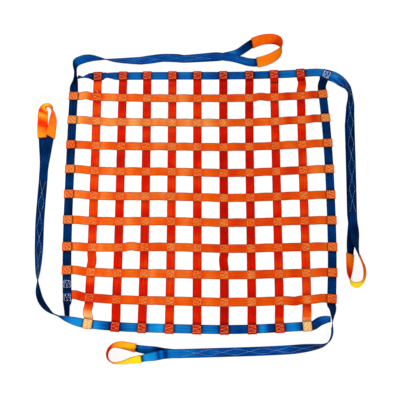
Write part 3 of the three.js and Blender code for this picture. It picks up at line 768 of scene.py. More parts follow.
# Rows are x and y of the web's middle in mm, its roll about its own length in degrees (0 lies flat, 90 stands
# on edge) and how far it is lifted off the floor in mm. sleeve gives the first and last loop rows under the
# sleeve, and tail_row the leg row where the doubled-back end stops. return_shift is how far that end lies off
# to one side of the leg, in mm, at given leg rows.
EDGE_WEBS = [
    {
        "side": "left",
        "eye": "top",
        "tuck": [(-716, -679, 68, 0), (-718, -650, 62, 0), (-721, -614, 50, 0)],
        "leg": [
            (-732, 670, 30, 0), (-724, 705, 63, 0), (-726, 758, 80, 0), (-731, 806, 66, 0),
            (-720, 831, 45, 0), (-699, 845, 30, 0), (-666, 853, 46, 0), (-630, 855, 68, 0),
            (-594, 852, 88, 0), (-550, 847, 112, 0), (-492, 842, 136, 0), (-402, 843, 160, 0),
            (-282, 851, 200, 0), (-205, 857, 226, 0), (-135, 858, 212, 0), (-72, 859, 180, 0),
            (100, 868, 180, 0),
        ],
        "loop": [
            (175, 879, 180, -1.6), (215, 889, 180, -1.6), (252, 904, 182, -1.4), (286, 926, 190, 0),
            (331, 955, 202, 0), (370, 972, 204, 0), (412, 981, 206, 0), (457, 979, 216, 0),
            (489, 963, 238, 0), (504, 934, 264, 0), (497, 901, 288, 0), (466, 870, 314, 0),
            (417, 846, 330, 0), (352, 831, 342, 0), (304, 835, 352, 3), (262, 848, 358, 3.6),
            (215, 862, 360, 2.4), (165, 870, 360, 1.6),
        ],
        "sleeve": (4, 13),
        "tail_row": 3,
        "return_shift": [(15, 0), (16, -8)],
    },
    {
        "side": "top",
        "eye": "right",
        "tuck": [(-713, 731, -36, 0), (-682, 730, -58, 0), (-645, 739, -30, 0)],
        "leg": [
            (723, 770, 0, 0), (783, 761, 0, 0), (825, 745, 0, 0), (857, 719, 0, 0),
            (876, 693, 0, 0), (891, 664, -30, 0), (902, 627, -48, 0), (903, 585, -34, 0),
            (900, 529, 0, 0), (897, 435, 0, 0), (892, 190, 0, 0), (885, -96, 0, 0),
        ],
        "loop": [
            (887, -161, 0, 1.6), (891, -207, -4, 2.4), (889, -262, -28, 5), (896, -310, -58, 2),
            (905, -340, -68, 0), (917, -370, -70, 0), (929, -407, -67, 0), (931, -452, -68, 0),
            (917, -491, -74, 0), (891, -508, -68, 0), (865, -505, -78, 0), (849, -486, -98, 0),
            (844, -460, -116, 0), (847, -430, -130, 0), (852, -386, -139, 0), (857, -330, -147, 0),
            (862, -282, -160, 0), (871, -228, -176, -1.2), (880, -161, -180, -1.6),
        ],
        "sleeve": (4, 15),
        "tail_row": 0,
        "return_shift": [(0, -18), (2, -16), (3, -12), (4, 0), (8, 0), (9, -8), (11, -7)],
    },
    {
        "side": "right",
        "eye": "bottom",
        "tuck": [(780, 784, 0, 3.3), (770, 756, 0, 3.3), (751, 720, 0, 3.3), (740, 688, 0, 0)],
        "leg": [
            (745, -640, -28, 0), (741, -682, -62, 0), (738, -736, -87, 0), (737, -772, -90, 0),
            (727, -804, -90, 0), (709, -826, -86, 0), (685, -839, -76, 0), (630, -848, -52, 0),
            (564, -855, -26, 0), (509, -860, -10, 0), (318, -869, 0, 0), (-91, -881, 0, 0),
        ],
        "loop": [
            (-140, -882, 0, 1.6), (-185, -886, -3, 2.4), (-228, -895, -14, 3.6), (-270, -902, -36, 2),
            (-306, -911, -51, 0), (-350, -918, -60, 0), (-391, -928, -74, 0), (-430, -934, -85, 0),
            (-459, -931, -88, 0), (-480, -915, -90, 0), (-488, -888, -91, 0), (-477, -856, -94, 0),
            (-452, -839, -105, 0), (-420, -836, -122, 0), (-381, -842, -130, 0), (-334, -853, -137, 0),
            (-276, -863, -152, 0), (-228, -868, -172, -0.6), (-180, -876, -180, -1.6),
            (-140, -880, -180, -1.6),
        ],
        "sleeve": (4, 15),
        "tail_row": 2,
        "return_shift": [(0, 0)],
    },
    {
        "side": "bottom",
        "eye": "left",
        "tuck": [(732, -695, -58, 0), (706, -697, -40, 0), (675, -706, -14, 0)],
        "leg": [
            (-660, -709, -22, 0), (-716, -694, -54, 0), (-764, -678, -86, 0), (-800, -663, -98, 0),
            (-831, -637, -116, 0), (-859, -601, -122, 0), (-876, -559, -116, 0), (-883, -504, -90, 0),
            (-887, -436, -52, 0), (-889, -357, -28, 0), (-892, -271, -8, 0), (-895, -143, 0, 0),
            (-888, 108, 0, 0),
        ],
        "loop": [
            (-887, 160, 0, 1.6), (-882, 210, 0, 2.4), (-874, 256, -4, 3.6), (-866, 306, -10, 5.5),
            (-857, 356, -14, 11), (-851, 400, -20, 10), (-846, 456, -34, 3), (-849, 505, -66, 0),
            (-860, 536, -104, 0), (-880, 550, -136, 0), (-900, 541, -158, 0), (-909, 508, -170, 0),
            (-908, 466, -175, 0), (-907, 410, -179, 0), (-902, 358, -182, 0), (-898, 310, -178, -0.8),
            (-893, 262, -180, -1.6), (-889, 215, -180, -1.6), (-888, 165, -180, -1.6),
        ],
        "sleeve": (4, 14),
        "tail_row": 2,
        "return_shift": [(0, 0)],
    },
]


def through_knots(knots, values, slopes, at):
    """A smooth curve through values at knots, with the given slopes there."""
    index = np.clip(np.searchsorted(knots, at, side="right") - 1, 0, len(knots) - 2)
    step = knots[index + 1] - knots[index]
    share = (at - knots[index]) / step
    start_slope, end_slope = slopes[index] * step[:, None], slopes[index + 1] * step[:, None]
    return smooth_run(share, values[index], start_slope, values[index + 1], end_slope)


def even_slopes(knots, values):
    """Slopes of a curve that runs evenly past each knot."""
    step = np.diff(knots)[:, None]
    rate = np.diff(values, axis=0) / step
    inner = (rate[:-1] * step[1:] + rate[1:] * step[:-1]) / (step[:-1] + step[1:])
    return np.concatenate([rate[:1], inner, rate[-1:]])


def steady_slopes(knots, values):
    """Slopes of a curve that never goes past its knots' values."""
    rate = np.diff(values, axis=0) / np.diff(knots)[:, None]
    same_way = rate[:-1] * rate[1:] > 0
    total = np.where(same_way, rate[:-1] + rate[1:], 1)
    inner = np.where(same_way, 2 * rate[:-1] * rate[1:] / total, 0)
    return np.concatenate([rate[:1], inner, rate[-1:]])


def rest_height(roll, width, thick):
    """Height of the middle of something rolled over, with its lowest edge on the floor."""
    return (np.abs(np.sin(roll)) * width + np.abs(np.cos(roll)) * thick) / 2


def lengths_along(path):
    """Distance along a path of points at each of them."""
    return np.concatenate([[0.0], np.cumsum(np.linalg.norm(np.diff(path, axis=0), axis=1))])


def routed(rows, width, thick, row_marks=()):
    """Stations along a curve through rows: middle, width and face, and where the marked rows come."""
    rows = np.array(rows, float)
    plan, turned = rows[:, :2] * MM, np.column_stack([np.radians(rows[:, 2]), rows[:, 3] * MM])
    knots = np.concatenate([[0.0], np.cumsum(np.sqrt(np.linalg.norm(np.diff(plan, axis=0), axis=1)))])
    fine = np.unique(np.concatenate([np.linspace(a, b, FINE_STEPS + 1) for a, b in zip(knots, knots[1:])]))
    path = through_knots(knots, plan, even_slopes(knots, plan), fine)
    along = lengths_along(path)
    row_along = np.interp(knots, fine, along)
    at = np.linspace(0, along[-1], max(int(round(along[-1] / EDGE_STEP)), 2) + 1)
    plan_at = np.stack([np.interp(at, along, path[:, axis]) for axis in range(2)], axis=1)
    roll, lift = through_knots(row_along, turned, steady_slopes(row_along, turned), at).T
    side = np.column_stack([left_of(unit(np.gradient(plan_at, axis=0))), at * 0])
    middle = np.column_stack([plan_at, rest_height(roll, width, thick) + lift])
    cos, sin = np.cos(roll)[:, None], np.sin(roll)[:, None]
    marks = [int(np.abs(at - row_along[row]).argmin()) for row in row_marks]
    return middle, side * cos + UP * sin, UP * cos - side * sin, marks


# Stretches of a border that are twisted between two straps: (side, strap before it), how far on, and the roll
# in degrees
BORDER_TWISTS = {("top", 0): (0.36, -30)}


def border_rows(side, line, straps):
    """The border between its corners, flat where each strap is folded round it."""
    stops = sorted(meeting(line, strap) for strap in straps)
    places, rolls = [], []
    for index, stop in enumerate(stops):
        places += [stop - SEWN_HALF, stop + SEWN_HALF]
        rolls += [0, 0]
        if index + 1 < len(stops):
            share, roll = BORDER_TWISTS.get((side, index), (0.5, 0))
            places.append(stop + (stops[index + 1] - stop) * share)
            rolls.append(roll)
    return [(*(point / MM), roll, 0) for point, roll in zip(line_point(line, np.array(places)), rolls)]


def bridge(before, after):
    """Points from the end of one run of stations to the start of the next, and their shares of the way."""
    heading_in, heading_out = unit(before[-1] - before[-2]), unit(after[1] - after[0])
    gap = np.linalg.norm(after[0] - before[-1])
    share = np.linspace(0, 1, max(int(round(gap / EDGE_STEP)), 2) + 1)[1:-1]
    return bend(before[-1], heading_in, after[0], heading_out, share), share[:, None]


def edge_web(spec, line, straps):
    """One edge web from end to end, and the stations where its leg, its eye and what is on them come."""
    border = border_rows(spec["side"], line, straps)
    rows = spec["tuck"] + border + spec["leg"]
    leg_row = len(spec["tuck"]) + len(border)
    core, width, face, leg_marks = routed(rows, WEB_WIDTH, 2 * CORE_RISE, range(leg_row, len(rows)))
    leg, tail = leg_marks[0], leg_marks[spec["tail_row"]]
    loop, loop_width, _, marks = routed(spec["loop"], SLEEVE_WIDTH, SLEEVE_THICK, spec["sleeve"])
    out = core + face * PLY_OFFSET
    leg_place = np.interp(np.arange(len(core)), leg_marks, np.arange(len(leg_marks)))
    shift = np.interp(leg_place, *zip(*spec["return_shift"])) * MM
    back = (core - face * PLY_OFFSET + width * shift[:, None])[:tail:-1]
    back_width = width[:tail:-1]
    to_loop, to_share = bridge(out, loop)
    from_loop, from_share = bridge(loop, back)
    points = np.concatenate([out, to_loop, loop, from_loop, back])
    widths = np.concatenate([
        width,
        width[-1] * (1 - to_share) + loop_width[0] * to_share,
        loop_width,
        loop_width[-1] * (1 - from_share) + back_width[0] * from_share,
        back_width,
    ])
    loop_start = len(out) + len(to_loop)
    places = {
        "leg": leg,
        "tail": tail,
        "leg_end": len(out) - 1,
        "loop": loop_start,
        "sleeve": [loop_start + mark for mark in marks],
        "back": loop_start + len(loop) + len(from_loop),
    }
    return Web(points, widths), places


# Painted light and shade along each edge web, as (place, shade): the side borders deeper and the top and
# bottom ones paler, for how the light falls along them. Its border is 0 to 1, its leg 1 to 2, its eye 2 to 3,
# and the doubled-back end 3 to 4
EDGE_SHADE = {
    "left": [
        (0, -0.8), (0.93, -0.8), (0.97, -0.9), (1.08, -1.0), (1.12, -0.6), (1.15, 0.4), (1.2, 0.0),
        (1.3, -0.15), (1.45, 0.1), (1.6, -0.05), (2, 0.05), (2.06, 0.45), (2.13, -0.6), (2.2, -1.0),
        (2.3, -1.0), (2.7, 0.0), (2.8, 0.1), (3, -0.1), (3.2, 0.05), (3.9, 0.0), (4, -0.2),
    ],
    "top": [
        (0, -0.9), (0.03, 0.2), (0.06, -0.7), (0.1, 0.0), (0.2, 0.25), (0.45, 0.3), (0.6, 0.0), (0.75, 0.1),
        (0.9, 0.35), (1.03, 0.5), (1.1, 0.5), (1.2, -0.6), (1.28, -0.85), (3.8, -0.82), (3.88, 0.2), (4, 0.9),
    ],
    "right": [
        (0, 0.3), (0.03, 0.05), (0.045, -1.0), (0.085, -1.0), (0.11, -0.6), (0.9, -0.6), (1.0, -0.85),
        (1.15, -0.9), (1.3, -0.75), (1.4, -0.1), (1.75, -0.05), (1.9, 0.4), (2, 0.5), (2.02, 0.4),
        (2.035, -0.5), (2.05, -0.4), (2.06, 0.5), (2.075, 0.4), (2.09, -0.4), (2.1, 0.7), (2.12, 1.2),
        (2.2, 1.4), (2.8, 0.3), (2.84, -1), (2.95, -1), (3, -0.5), (4, 0.0),
    ],
    "bottom": [
        (0, 0.4), (0.03, 0.1), (0.05, -0.5), (0.11, -0.5), (0.13, 0.3), (0.15, 1.0), (0.19, 0.5),
        (0.22, -0.6), (0.245, -0.3), (0.27, 1.0), (0.295, 0.6), (0.36, -0.3), (0.45, 0.3), (0.55, 0.5),
        (0.67, 1.3),
        (0.72, 0.7), (0.8, 0.6), (0.865, -0.4), (0.9, 0.4), (0.935, 1.2), (0.97, 1.6), (1.04, 0.7),
        (1.12, -0.7), (1.22, -0.85), (4, -0.82),
    ],
}
EDGE_SHADE_SWING = 0.08
EDGE_SHADE_LENGTHS = (0.13, 0.29)
EDGE_SHADE_SEED = 5
blue_webbing = webbing_finish(
    "blue_webbing",
    [(0.002, 0.008, 0.03, 1), (0.004, 0.056, 0.27, 1), (0.008, 0.23, 0.62, 1), (0.02, 0.46, 0.9, 1)],
    (0.0, 0.2, 1.0, 1),
    roughness=0.45,
    shine=0.25,
)
edge_webs, edge_places, edge_pieces = {}, {}, {}
for index, spec in enumerate(EDGE_WEBS):
    side, eye = spec["side"], spec["eye"]
    line = border_lines[side]
    straps = across_lines if side in ("left", "right") else down_lines
    web, places = edge_web(spec, line, straps)
    first, last = places["sleeve"]
    # Painted shadow lines beside the sleeve's ends and beside each strap end folded over the border
    web.lines = [web.along[first] - SHADOW_LINE_REACH / 2, web.along[last] + SHADOW_LINE_REACH / 2]
    for strap in straps:
        crossing = web.place_of(np.append(line_point(line, meeting(line, strap)), SECOND_PLY))
        web.lines += [crossing - WEB_WIDTH / 2, crossing + WEB_WIDTH / 2]
    marks = [0, places["leg"], places["loop"], places["back"], len(web.along) - 1]
    place = np.interp(web.along, web.along[marks], range(len(marks)))
    draw = np.random.default_rng([index, EDGE_SHADE_SEED])
    chance = EDGE_SHADE_SWING * waves(web.along, EDGE_SHADE_LENGTHS, draw)
    piece = add_webbing(f"edge_web_{side}_web", web, np.interp(place, *zip(*EDGE_SHADE[side])) + chance)
    nodes = [f"edge_web_{side}", f"leg_web_{eye}", f"eye_web_{eye}", f"return_web_{eye}"]
    fit(piece, blue_webbing, "edge_webbing", *nodes)
    edge_webs[side], edge_places[side], edge_pieces[side] = web, places, piece

# Wear sleeves
# Four flat tubes of bright orange cloth, sewn along both edges and pulled over the eyes before the legs are
# sewn. They take the rub of the hook. Each has a turned hem at both ends and creases where the eye bends.

SLEEVE_WALL = 1.5 * MM
SLEEVE_SEAM = 4 * MM  # width of the sewn edge outside the webbing
SEAM_HALF_THICK = 0.75 * SLEEVE_WALL
SEAM_END = 1.04  # where the fall to the seam ends, in shares of half the width
SLEEVE_AROUND = 36
SLEEVE_GATHER = 0.7  # power that draws the outline's points towards its edges
SLEEVE_EDGE_ROUND = 6  # how soon the outline reaches its thickness there
SLEEVE_CLEARANCE = 0.35 * MM  # between the webbing and the tube
HEM_WIDTH = 12 * MM
HEM_RISE = 0.45 * MM
HEM_SHADOW_WIDTH = 3 * MM  # width of the painted shadow line along each end
CREASE_HALF = 7 * MM
CREASE_SLANT = 0.35
CREASE_SHADE = 0.3  # how far a crease deepens the painted shade, and a ridge lightens it, for each mm
CREASE_FADE, HEM_FADE = 4, 6  # how late creases and hems fade out towards the sewn edges
BAND_SLANT = 0.4
END_SLANT = {"left": 14 * MM, "top": -10 * MM}  # how far a sleeve's first end is out of square, at its edges
SLANT_REACH = 60 * MM
SLEEVE_FINENESS = 3  # stations for each one of the webbing

# Creases of each sleeve: share of its length, and depth in mm (less than nothing stands up as a ridge)
SLEEVE_CREASES = {
    "top": [(0.12, 0.4), (0.38, 0.6), (0.47, -0.8), (0.54, 0.7), (0.62, -0.7), (0.7, 0.5), (0.88, 0.4)],
    "right": [(0.15, 0.5), (0.4, 0.6), (0.48, -0.8), (0.55, 0.7), (0.63, 0.6), (0.8, -0.5)],
    "bottom": [(0.1, 0.4), (0.36, 0.5), (0.44, -0.8), (0.5, 0.7), (0.57, -0.7), (0.66, 0.5), (0.85, 0.4)],
    "left": [
        (0.2, 0.5), (0.42, -0.8), (0.5, -0.6), (0.6, 1.0), (0.66, -1.2), (0.74, 0.7), (0.86, -0.5),
        (0.9, 0.5),
    ],
}
# Painted light and shade of each sleeve along its length: -1 deep red, 0 its own orange, 1 amber and 2 a
# yellow painted highlight, where a face of it looks out of the eye and where one looks into it. The far half
# of the left sleeve is the same on both.
LEFT_SLEEVE_END = [
    (0.55, 1.2), (0.61, -0.8), (0.63, -0.9), (0.66, 0.7), (0.69, 0.2), (0.75, -0.7),
    (0.79, -1.2), (0.82, -1.1), (0.88, -0.1), (0.93, 0.3), (1, 0.4),
]
SLEEVE_SHADE = {
    "top": (
        [(0, 0.1), (0.4, 0.2), (0.5, -0.1), (0.6, 0.1), (1, 0.2)],
        [(0, -0.2), (0.35, -0.5), (0.43, -1.0), (0.6, -1.0), (0.75, -0.3), (1, 0.0)],
    ),
    "right": (
        [(0, -0.2), (0.25, -0.2), (0.34, 1.0), (0.42, 2.2), (0.58, 2.2), (0.66, 0.8), (1, 0.3)],
        [(0, -0.2), (0.25, -0.3), (0.33, -1.2), (0.64, -1.3), (0.72, -1.2), (0.78, -0.7), (0.86, -0.2),
         (1, 0.2)],
    ),
    "bottom": (
        [(0, 2.2), (0.3, 2.2), (0.38, 1.0), (0.43, -0.6), (0.48, -1.2), (0.6, -1.2), (0.66, -0.3),
         (0.72, 0.8), (1, 1.2)],
        [(0, 1.0), (0.3, 0.3), (0.4, -1.0), (0.45, -1.4), (0.62, -1.4), (0.69, 0.7), (0.8, 1.4), (1, 1.0)],
    ),
    "left": (
        [(0, 0.1), (0.3, 0.2), (0.4, 1.2), *LEFT_SLEEVE_END],
        [(0, 0.0), (0.2, -0.15), (0.38, -0.5), (0.5, 0.6), *LEFT_SLEEVE_END],
    ),
}


def sleeve_profiles():
    """Outer and inner outlines of the flat tube, anticlockwise, as distances across and through it."""
    turn = np.linspace(0, 2 * np.pi, SLEEVE_AROUND, endpoint=False)
    across = np.sign(np.cos(turn)) * np.abs(np.cos(turn)) ** SLEEVE_GATHER
    above = np.sign(np.sin(turn))
    edge_round = np.minimum(np.abs(np.sin(turn)) * SLEEVE_EDGE_ROUND, 1)
    seam_start = 1 - SLEEVE_SEAM / (SLEEVE_WIDTH / 2)
    fall = np.clip((SEAM_END - np.abs(across)) / (SEAM_END - seam_start), 0, 1)
    half = SEAM_HALF_THICK + (SLEEVE_THICK / 2 - SEAM_HALF_THICK) * fall * fall * (3 - 2 * fall)
    outer = np.column_stack([across * SLEEVE_WIDTH / 2, above * half * edge_round])
    inner_half = WEB_THICK / 2 + SLEEVE_CLEARANCE
    inner_width = across * (WEB_WIDTH / 2 + SLEEVE_CLEARANCE)
    return outer, np.column_stack([inner_width, above * inner_half * edge_round])


def add_sleeve(name, web, first, last, creases, shades, slant):
    """The mesh of a sleeve over a stretch of webbing, as one closed wall with an outer and an inner face."""
    fine = np.linspace(web.along[first], web.along[last], SLEEVE_FINENESS * (last - first) + 1)
    middle, width, heading, face = web.at(fine * 0, fine, 1.0, -WEB_THICK / 2)
    length = fine[-1] - fine[0]
    share = (fine - fine[0]) / length
    from_end = np.minimum(share, 1 - share) * length
    hem = HEM_RISE * np.clip((HEM_WIDTH - from_end) / MM + 0.5, 0, 1)
    outer, inner = sleeve_profiles()
    across_share = outer[:, 0] / (SLEEVE_WIDTH / 2)
    crease = np.zeros((len(fine), SLEEVE_AROUND))
    for place, depth in creases:
        offset = (share[:, None] - place) * length + CREASE_SLANT * outer[None, :, 0] * np.sign(depth)
        crease -= depth * MM * np.exp(-((offset / CREASE_HALF) ** 2)) * (1 - across_share**CREASE_FADE)
    raised = hem[:, None] * (1 - across_share**HEM_FADE) + crease
    outer_through = outer[:, 1] + np.sign(outer[:, 1]) * raised
    inner_through = np.broadcast_to(inner[:, 1], crease.shape)
    end_slant = slant * np.clip(1 - (fine - fine[0]) / SLANT_REACH, 0, 1)[:, None]
    shell = []
    for across, through in ((outer[:, 0], outer_through), (inner[:, 0], inner_through)):
        sheared = end_slant * across / (SLEEVE_WIDTH / 2)
        wall = middle[:, None] + width[:, None] * across[:, None] + heading[:, None] * sheared[:, :, None]
        shell.append((wall + face[:, None] * through[:, :, None]).reshape(-1, 3))

    wall = ring_quads(len(fine), SLEEVE_AROUND)
    ring = np.arange(SLEEVE_AROUND)
    beside = (ring + 1) % SLEEVE_AROUND
    inside = len(fine) * SLEEVE_AROUND
    near_rim = np.column_stack([beside, ring, ring + inside, beside + inside])
    far_rim = near_rim[:, [1, 0, 3, 2]] + inside - SLEEVE_AROUND
    faces = np.concatenate([wall, wall[:, ::-1] + inside, near_rim, far_rim]).tolist()

    uv = np.stack(np.broadcast_arrays(outer[:, 0], fine[:, None]), axis=-1).reshape(-1, 2)
    # Painted light and shade of each face from its table, deeper where a crease sinks and paler on a ridge
    looks_out = np.einsum("ij,ij->i", face, middle - middle.mean(axis=0))[:, None] * outer[:, 1] > 0
    banded = share[:, None] + BAND_SLANT * outer[:, 0] / length
    out_shade, in_shade = (np.interp(banded, *zip(*table)) for table in shades)
    shade = np.where(looks_out, out_shade, in_shade) + crease / MM * CREASE_SHADE
    hem_shadow_line = np.clip(2 - from_end / HEM_SHADOW_WIDTH, 0, 1)[:, None] + shade * 0
    values = {"painted_light_and_tone": np.tile(shade.ravel(), 2), "hem_shadow_line": np.tile(hem_shadow_line.ravel(), 2)}
    return add_piece(name, np.concatenate(shell), faces, np.concatenate([uv, uv]), values)


CLOTH_PITCH = 1.1 * MM  # from one thread of the cloth to the next
CLOTH_DEPTH = 0.12 * MM
CLOTH_STRENGTH = 0.6
CLOTH_GAP_LIGHT, CLOTH_GAP_END = 0.8, 0.6  # colour left in the gaps as painted shade, and the height where a gap is over
CLOTH_CLOUD_SCALE, CLOTH_CLOUD_DETAIL, CLOTH_CLOUD_SHADE = 22.0, 3.0, 0.9
CLOTH_ROUGH_SCALE, CLOTH_ROUGHNESS = 70.0, (0.5, 0.64)
SEAM_FULL, SEAM_SHARE = 30 * MM, 0.6  # where the deepening towards the seams is full, and how strong
# How strong the painted shadow along each hem is
HEM_SHADOW_SHARE = 0.6
# Deep red painted shade, the cloth's own orange, amber painted light and a yellow painted highlight
CLOTH_COLOURS = [(0.74, 0.014, 0.001, 1), (0.93, 0.17, 0.004, 1), (1.0, 0.36, 0.01, 1), (1.0, 0.72, 0.01, 1)]
SEAM_COLOUR = (0.5, 0.02, 0.002, 1)
# Colour of that painted shadow
HEM_SHADOW_COLOUR = (0.12, 0.01, 0.004, 1)
CLOTH_SHINE = (1.0, 0.6, 0.1, 1)


def sleeve_finish():
    """Close plain-woven cloth: a fine check of threads, cloudy, deeper along its seams, with painted light,
    shade and hem shadows.
    """
    finish = Finish("sleeve_cloth")
    warp, weft = ((place * (2 * math.pi / CLOTH_PITCH)).sine() for place in (finish.across, finish.along))
    weave = (warp * weft).between(-1.0, 1.0)
    cloudy = mottle(finish.flat, CLOTH_CLOUD_SCALE, CLOTH_CLOUD_DETAIL) - 0.5
    colour = shaded(finish.point_value("painted_light_and_tone") + cloudy * CLOTH_CLOUD_SHADE, CLOTH_COLOURS)
    seam = abs(finish.across).between(WEB_WIDTH / 2, SEAM_FULL, 0.0, SEAM_SHARE)
    colour = blended(seam, colour, SEAM_COLOUR)
    # Painted shadow along each hem
    colour = blended(finish.point_value("hem_shadow_line") * HEM_SHADOW_SHARE, colour, HEM_SHADOW_COLOUR)
    colour = darkened(colour, weave.between(0.0, CLOTH_GAP_END, CLOTH_GAP_LIGHT, 1.0))
    finish.emboss(weave, CLOTH_DEPTH, CLOTH_STRENGTH)
    finish.give({
        "Base Color": colour,
        "Roughness": mottle(finish.flat, CLOTH_ROUGH_SCALE).between(*NOISE_RANGE, *CLOTH_ROUGHNESS),
        "Specular IOR Level": 0.3,
        "Specular Tint": CLOTH_SHINE,
        "Sheen Weight": 0.06,
        "Sheen Tint": CLOTH_SHINE,
    })
    return finish.material


orange_cloth = sleeve_finish()
for spec in EDGE_WEBS:
    side, eye = spec["side"], spec["eye"]
    web, (first, last) = edge_webs[side], edge_places[side]["sleeve"]
    creases, shades, slant = SLEEVE_CREASES[eye], SLEEVE_SHADE[eye], END_SLANT.get(eye, 0.0)
    sleeve = add_sleeve(f"wear_sleeve_{eye}_cloth", web, first, last, creases, shades, slant)
    fit(sleeve, orange_cloth, "sleeve_cloth", f"wear_sleeve_{eye}")
    length = web.along[last] - web.along[first]

# Stitching
# Thick bonded polyester thread. A box with a zigzag in it holds every crossing and every folded strap end, in
# pale orange. Zigzags that cross each other hold the two plies of each leg, and white boxes two border ends.

STITCH_PITCH = 6.4 * MM
STITCH_LENGTH = 5.2 * MM
STITCH_WIDTH = 1.9 * MM
STITCH_HEIGHT = 0.9 * MM
STITCH_WANDER = 0.12 * MM
STITCH_SHADE_SWING = 0.3
# Corners of one stitch, as shares of its length along it, its width beside it and its height over the
# webbing: a point at each end, and four corners round it twice between them
STITCH_SHAPE = np.array([
    (-0.5, 0, -0.1),
    (-0.24, -0.5, 0), (-0.24, 0, 0.85), (-0.24, 0.5, 0), (-0.24, 0, -0.3),
    (0.24, -0.5, 0), (0.24, 0, 0.85), (0.24, 0.5, 0), (0.24, 0, -0.3),
    (0.5, 0, -0.1),
])
STITCH_FACES = []
for corner, following in ((1, 2), (2, 3), (3, 4), (4, 1)):
    STITCH_FACES += [
        (0, following, corner),
        (corner, following, following + 4, corner + 4),
        (9, corner + 4, following + 4),
    ]
FACE_UP, FACE_DOWN = 1.0, -1.0  # which side of the webbing is on top: a folded end lies face down


def stitches_on(web, path, side, draw):
    """Middle, heading and face of each stitch along a path of (across, along) points on the webbing."""
    path = np.asarray(path, float)
    places, headings = [], []
    for start, end in zip(path[:-1], path[1:]):
        count = max(int(round(np.linalg.norm(end - start) / STITCH_PITCH)), 1)
        share = (np.arange(count) + 0.5)[:, None] / count
        places.append(start + (end - start) * share + draw.normal(0, STITCH_WANDER, (count, 2)))
        headings.append(np.broadcast_to(unit(end - start), (count, 2)))
    places, headings = np.concatenate(places), np.concatenate(headings)
    points, width, heading, face = web.at(places[:, 0], places[:, 1], side, 0.0)
    run = width * headings[:, :1] + heading * headings[:, 1:]
    return np.stack([points, run, face], axis=1)


def box_on(web, along, turned, side, draw):
    """Stitches of a box with a zigzag in it, at a distance along the webbing."""
    box = [(-1, -1), (1, -1), (1, 1), (-1, 1), (-1, -1)]
    zigzag = [(-0.5, 1), (0, -1), (0.5, 1), (1, -1)]
    path = np.array(box + [point[::-1] if turned else point for point in zigzag], float)
    return stitches_on(web, path * BOX_HALF + (0, along), side, draw)


def add_stitching(name, groups, finish, slot_name, draw, thread_width=STITCH_WIDTH):
    """One joined mesh of many stitches, each a small bead of thread that dips at both ends."""
    rows = np.concatenate(groups)
    points, run, face = rows[:, 0], unit(rows[:, 1]), rows[:, 2]
    beside = np.cross(face, run)
    sizes = STITCH_SHAPE * (STITCH_LENGTH, thread_width, STITCH_HEIGHT)
    corners = (
        points[:, None]
        + run[:, None] * sizes[:, :1]
        + beside[:, None] * sizes[:, 1:2]
        + face[:, None] * sizes[:, 2:]
    )
    firsts = range(0, len(points) * len(sizes), len(sizes))
    faces = [[first + corner for corner in corners_of] for first in firsts for corners_of in STITCH_FACES]
    uv = np.tile(sizes[:, :2], (len(points), 1))
    painted_light_and_tone = np.repeat(draw.normal(0, STITCH_SHADE_SWING, len(points)), len(sizes))
    piece = add_piece(name, corners.reshape(-1, 3), faces, uv, {"painted_light_and_tone": painted_light_and_tone})
    fit(piece, finish, slot_name)
    return piece


TWIST_PITCH = 0.8 * MM  # from one turn of the strand to the next
TWIST_DEPTH = 0.1 * MM
TWIST_LIGHT, TWIST_GAP_END = 0.75, 0.3  # colour left between two turns as painted shade, and where that gap is over
THREAD_ROUGHNESS = (0.4, 0.55)


def thread_finish(name, plain, pale):
    """Bonded thread: a smooth twisted strand with a soft shine and painted shade between its turns."""
    finish = Finish(name)
    twist = ((finish.across + finish.along) * (2 * math.pi / TWIST_PITCH)).sine()
    shade = finish.point_value("painted_light_and_tone").between(-2 * STITCH_SHADE_SWING, 2 * STITCH_SHADE_SWING)
    light = twist.between(-1.0, TWIST_GAP_END, TWIST_LIGHT, 1.0)
    finish.emboss(twist, TWIST_DEPTH)
    finish.give({
        "Base Color": darkened(blended(shade, plain, pale), light),
        "Roughness": shade.between(0.0, 1.0, *THREAD_ROUGHNESS),
        "Sheen Weight": 0.1,
    })
    return finish.material


orange_thread = thread_finish("orange_thread", (1.0, 0.3, 0.055, 1), (1.0, 0.57, 0.23, 1))
white_thread = thread_finish("white_thread", (0.85, 0.88, 0.95, 1), (1.0, 1.0, 1.0, 1))
grey_thread = thread_finish("grey_thread", (0.1, 0.26, 0.62, 1), (0.5, 0.68, 0.95, 1))
blue_thread = thread_finish("blue_thread", (0.01, 0.1, 0.35, 1), (0.25, 0.4, 0.7, 1))
ACROSS_SEED, DOWN_SEED, EDGE_SEED, LOOSE_SEED = 11, 12, 13, 14

across_stitching, down_stitching = [], []
for index, web in enumerate(across_webs):
    draw = np.random.default_rng([index, ACROSS_SEED])
    groups = [box_on(web, web.place_of(place), False, FACE_UP, draw) for place in web.sewn]
    for end, tail in zip(("start", "end"), web.tails):
        if (f"strap_across_{index + 1}", end) not in BARE_ENDS:
            groups.append(box_on(web, web.place_of(tail), end == "start", FACE_DOWN, draw))
    name = f"stitching_across_{index + 1}"
    across_stitching.append([add_stitching(name, groups, orange_thread, "across_webbing", draw)])
for index, web in enumerate(down_webs):
    draw = np.random.default_rng([index, DOWN_SEED])
    groups = [box_on(web, web.place_of(tail), True, FACE_DOWN, draw) for tail in web.tails]
    name = f"stitching_down_{index + 1}"
    down_stitching.append([add_stitching(name, groups, orange_thread, "down_webbing", draw)])

# A loose end of white thread on the first down strap, in mm across it and along it from its first crossing
LOOSE_THREAD = [(-8, -44), (0, -31), (6, -20), (16, -17)]
first_web = down_webs[0]
loose_path = np.array(LOOSE_THREAD) * MM + (0, first_web.place_of(first_web.sewn[0]))
draw = np.random.default_rng(LOOSE_SEED)
loose_stitches = stitches_on(first_web, loose_path, FACE_UP, draw)
loose_end = add_stitching("loose_thread_end", [loose_stitches], white_thread, "down_webbing", draw)
down_stitching[0].append(loose_end)

LEG_THREAD_WIDTH = 1.4 * MM
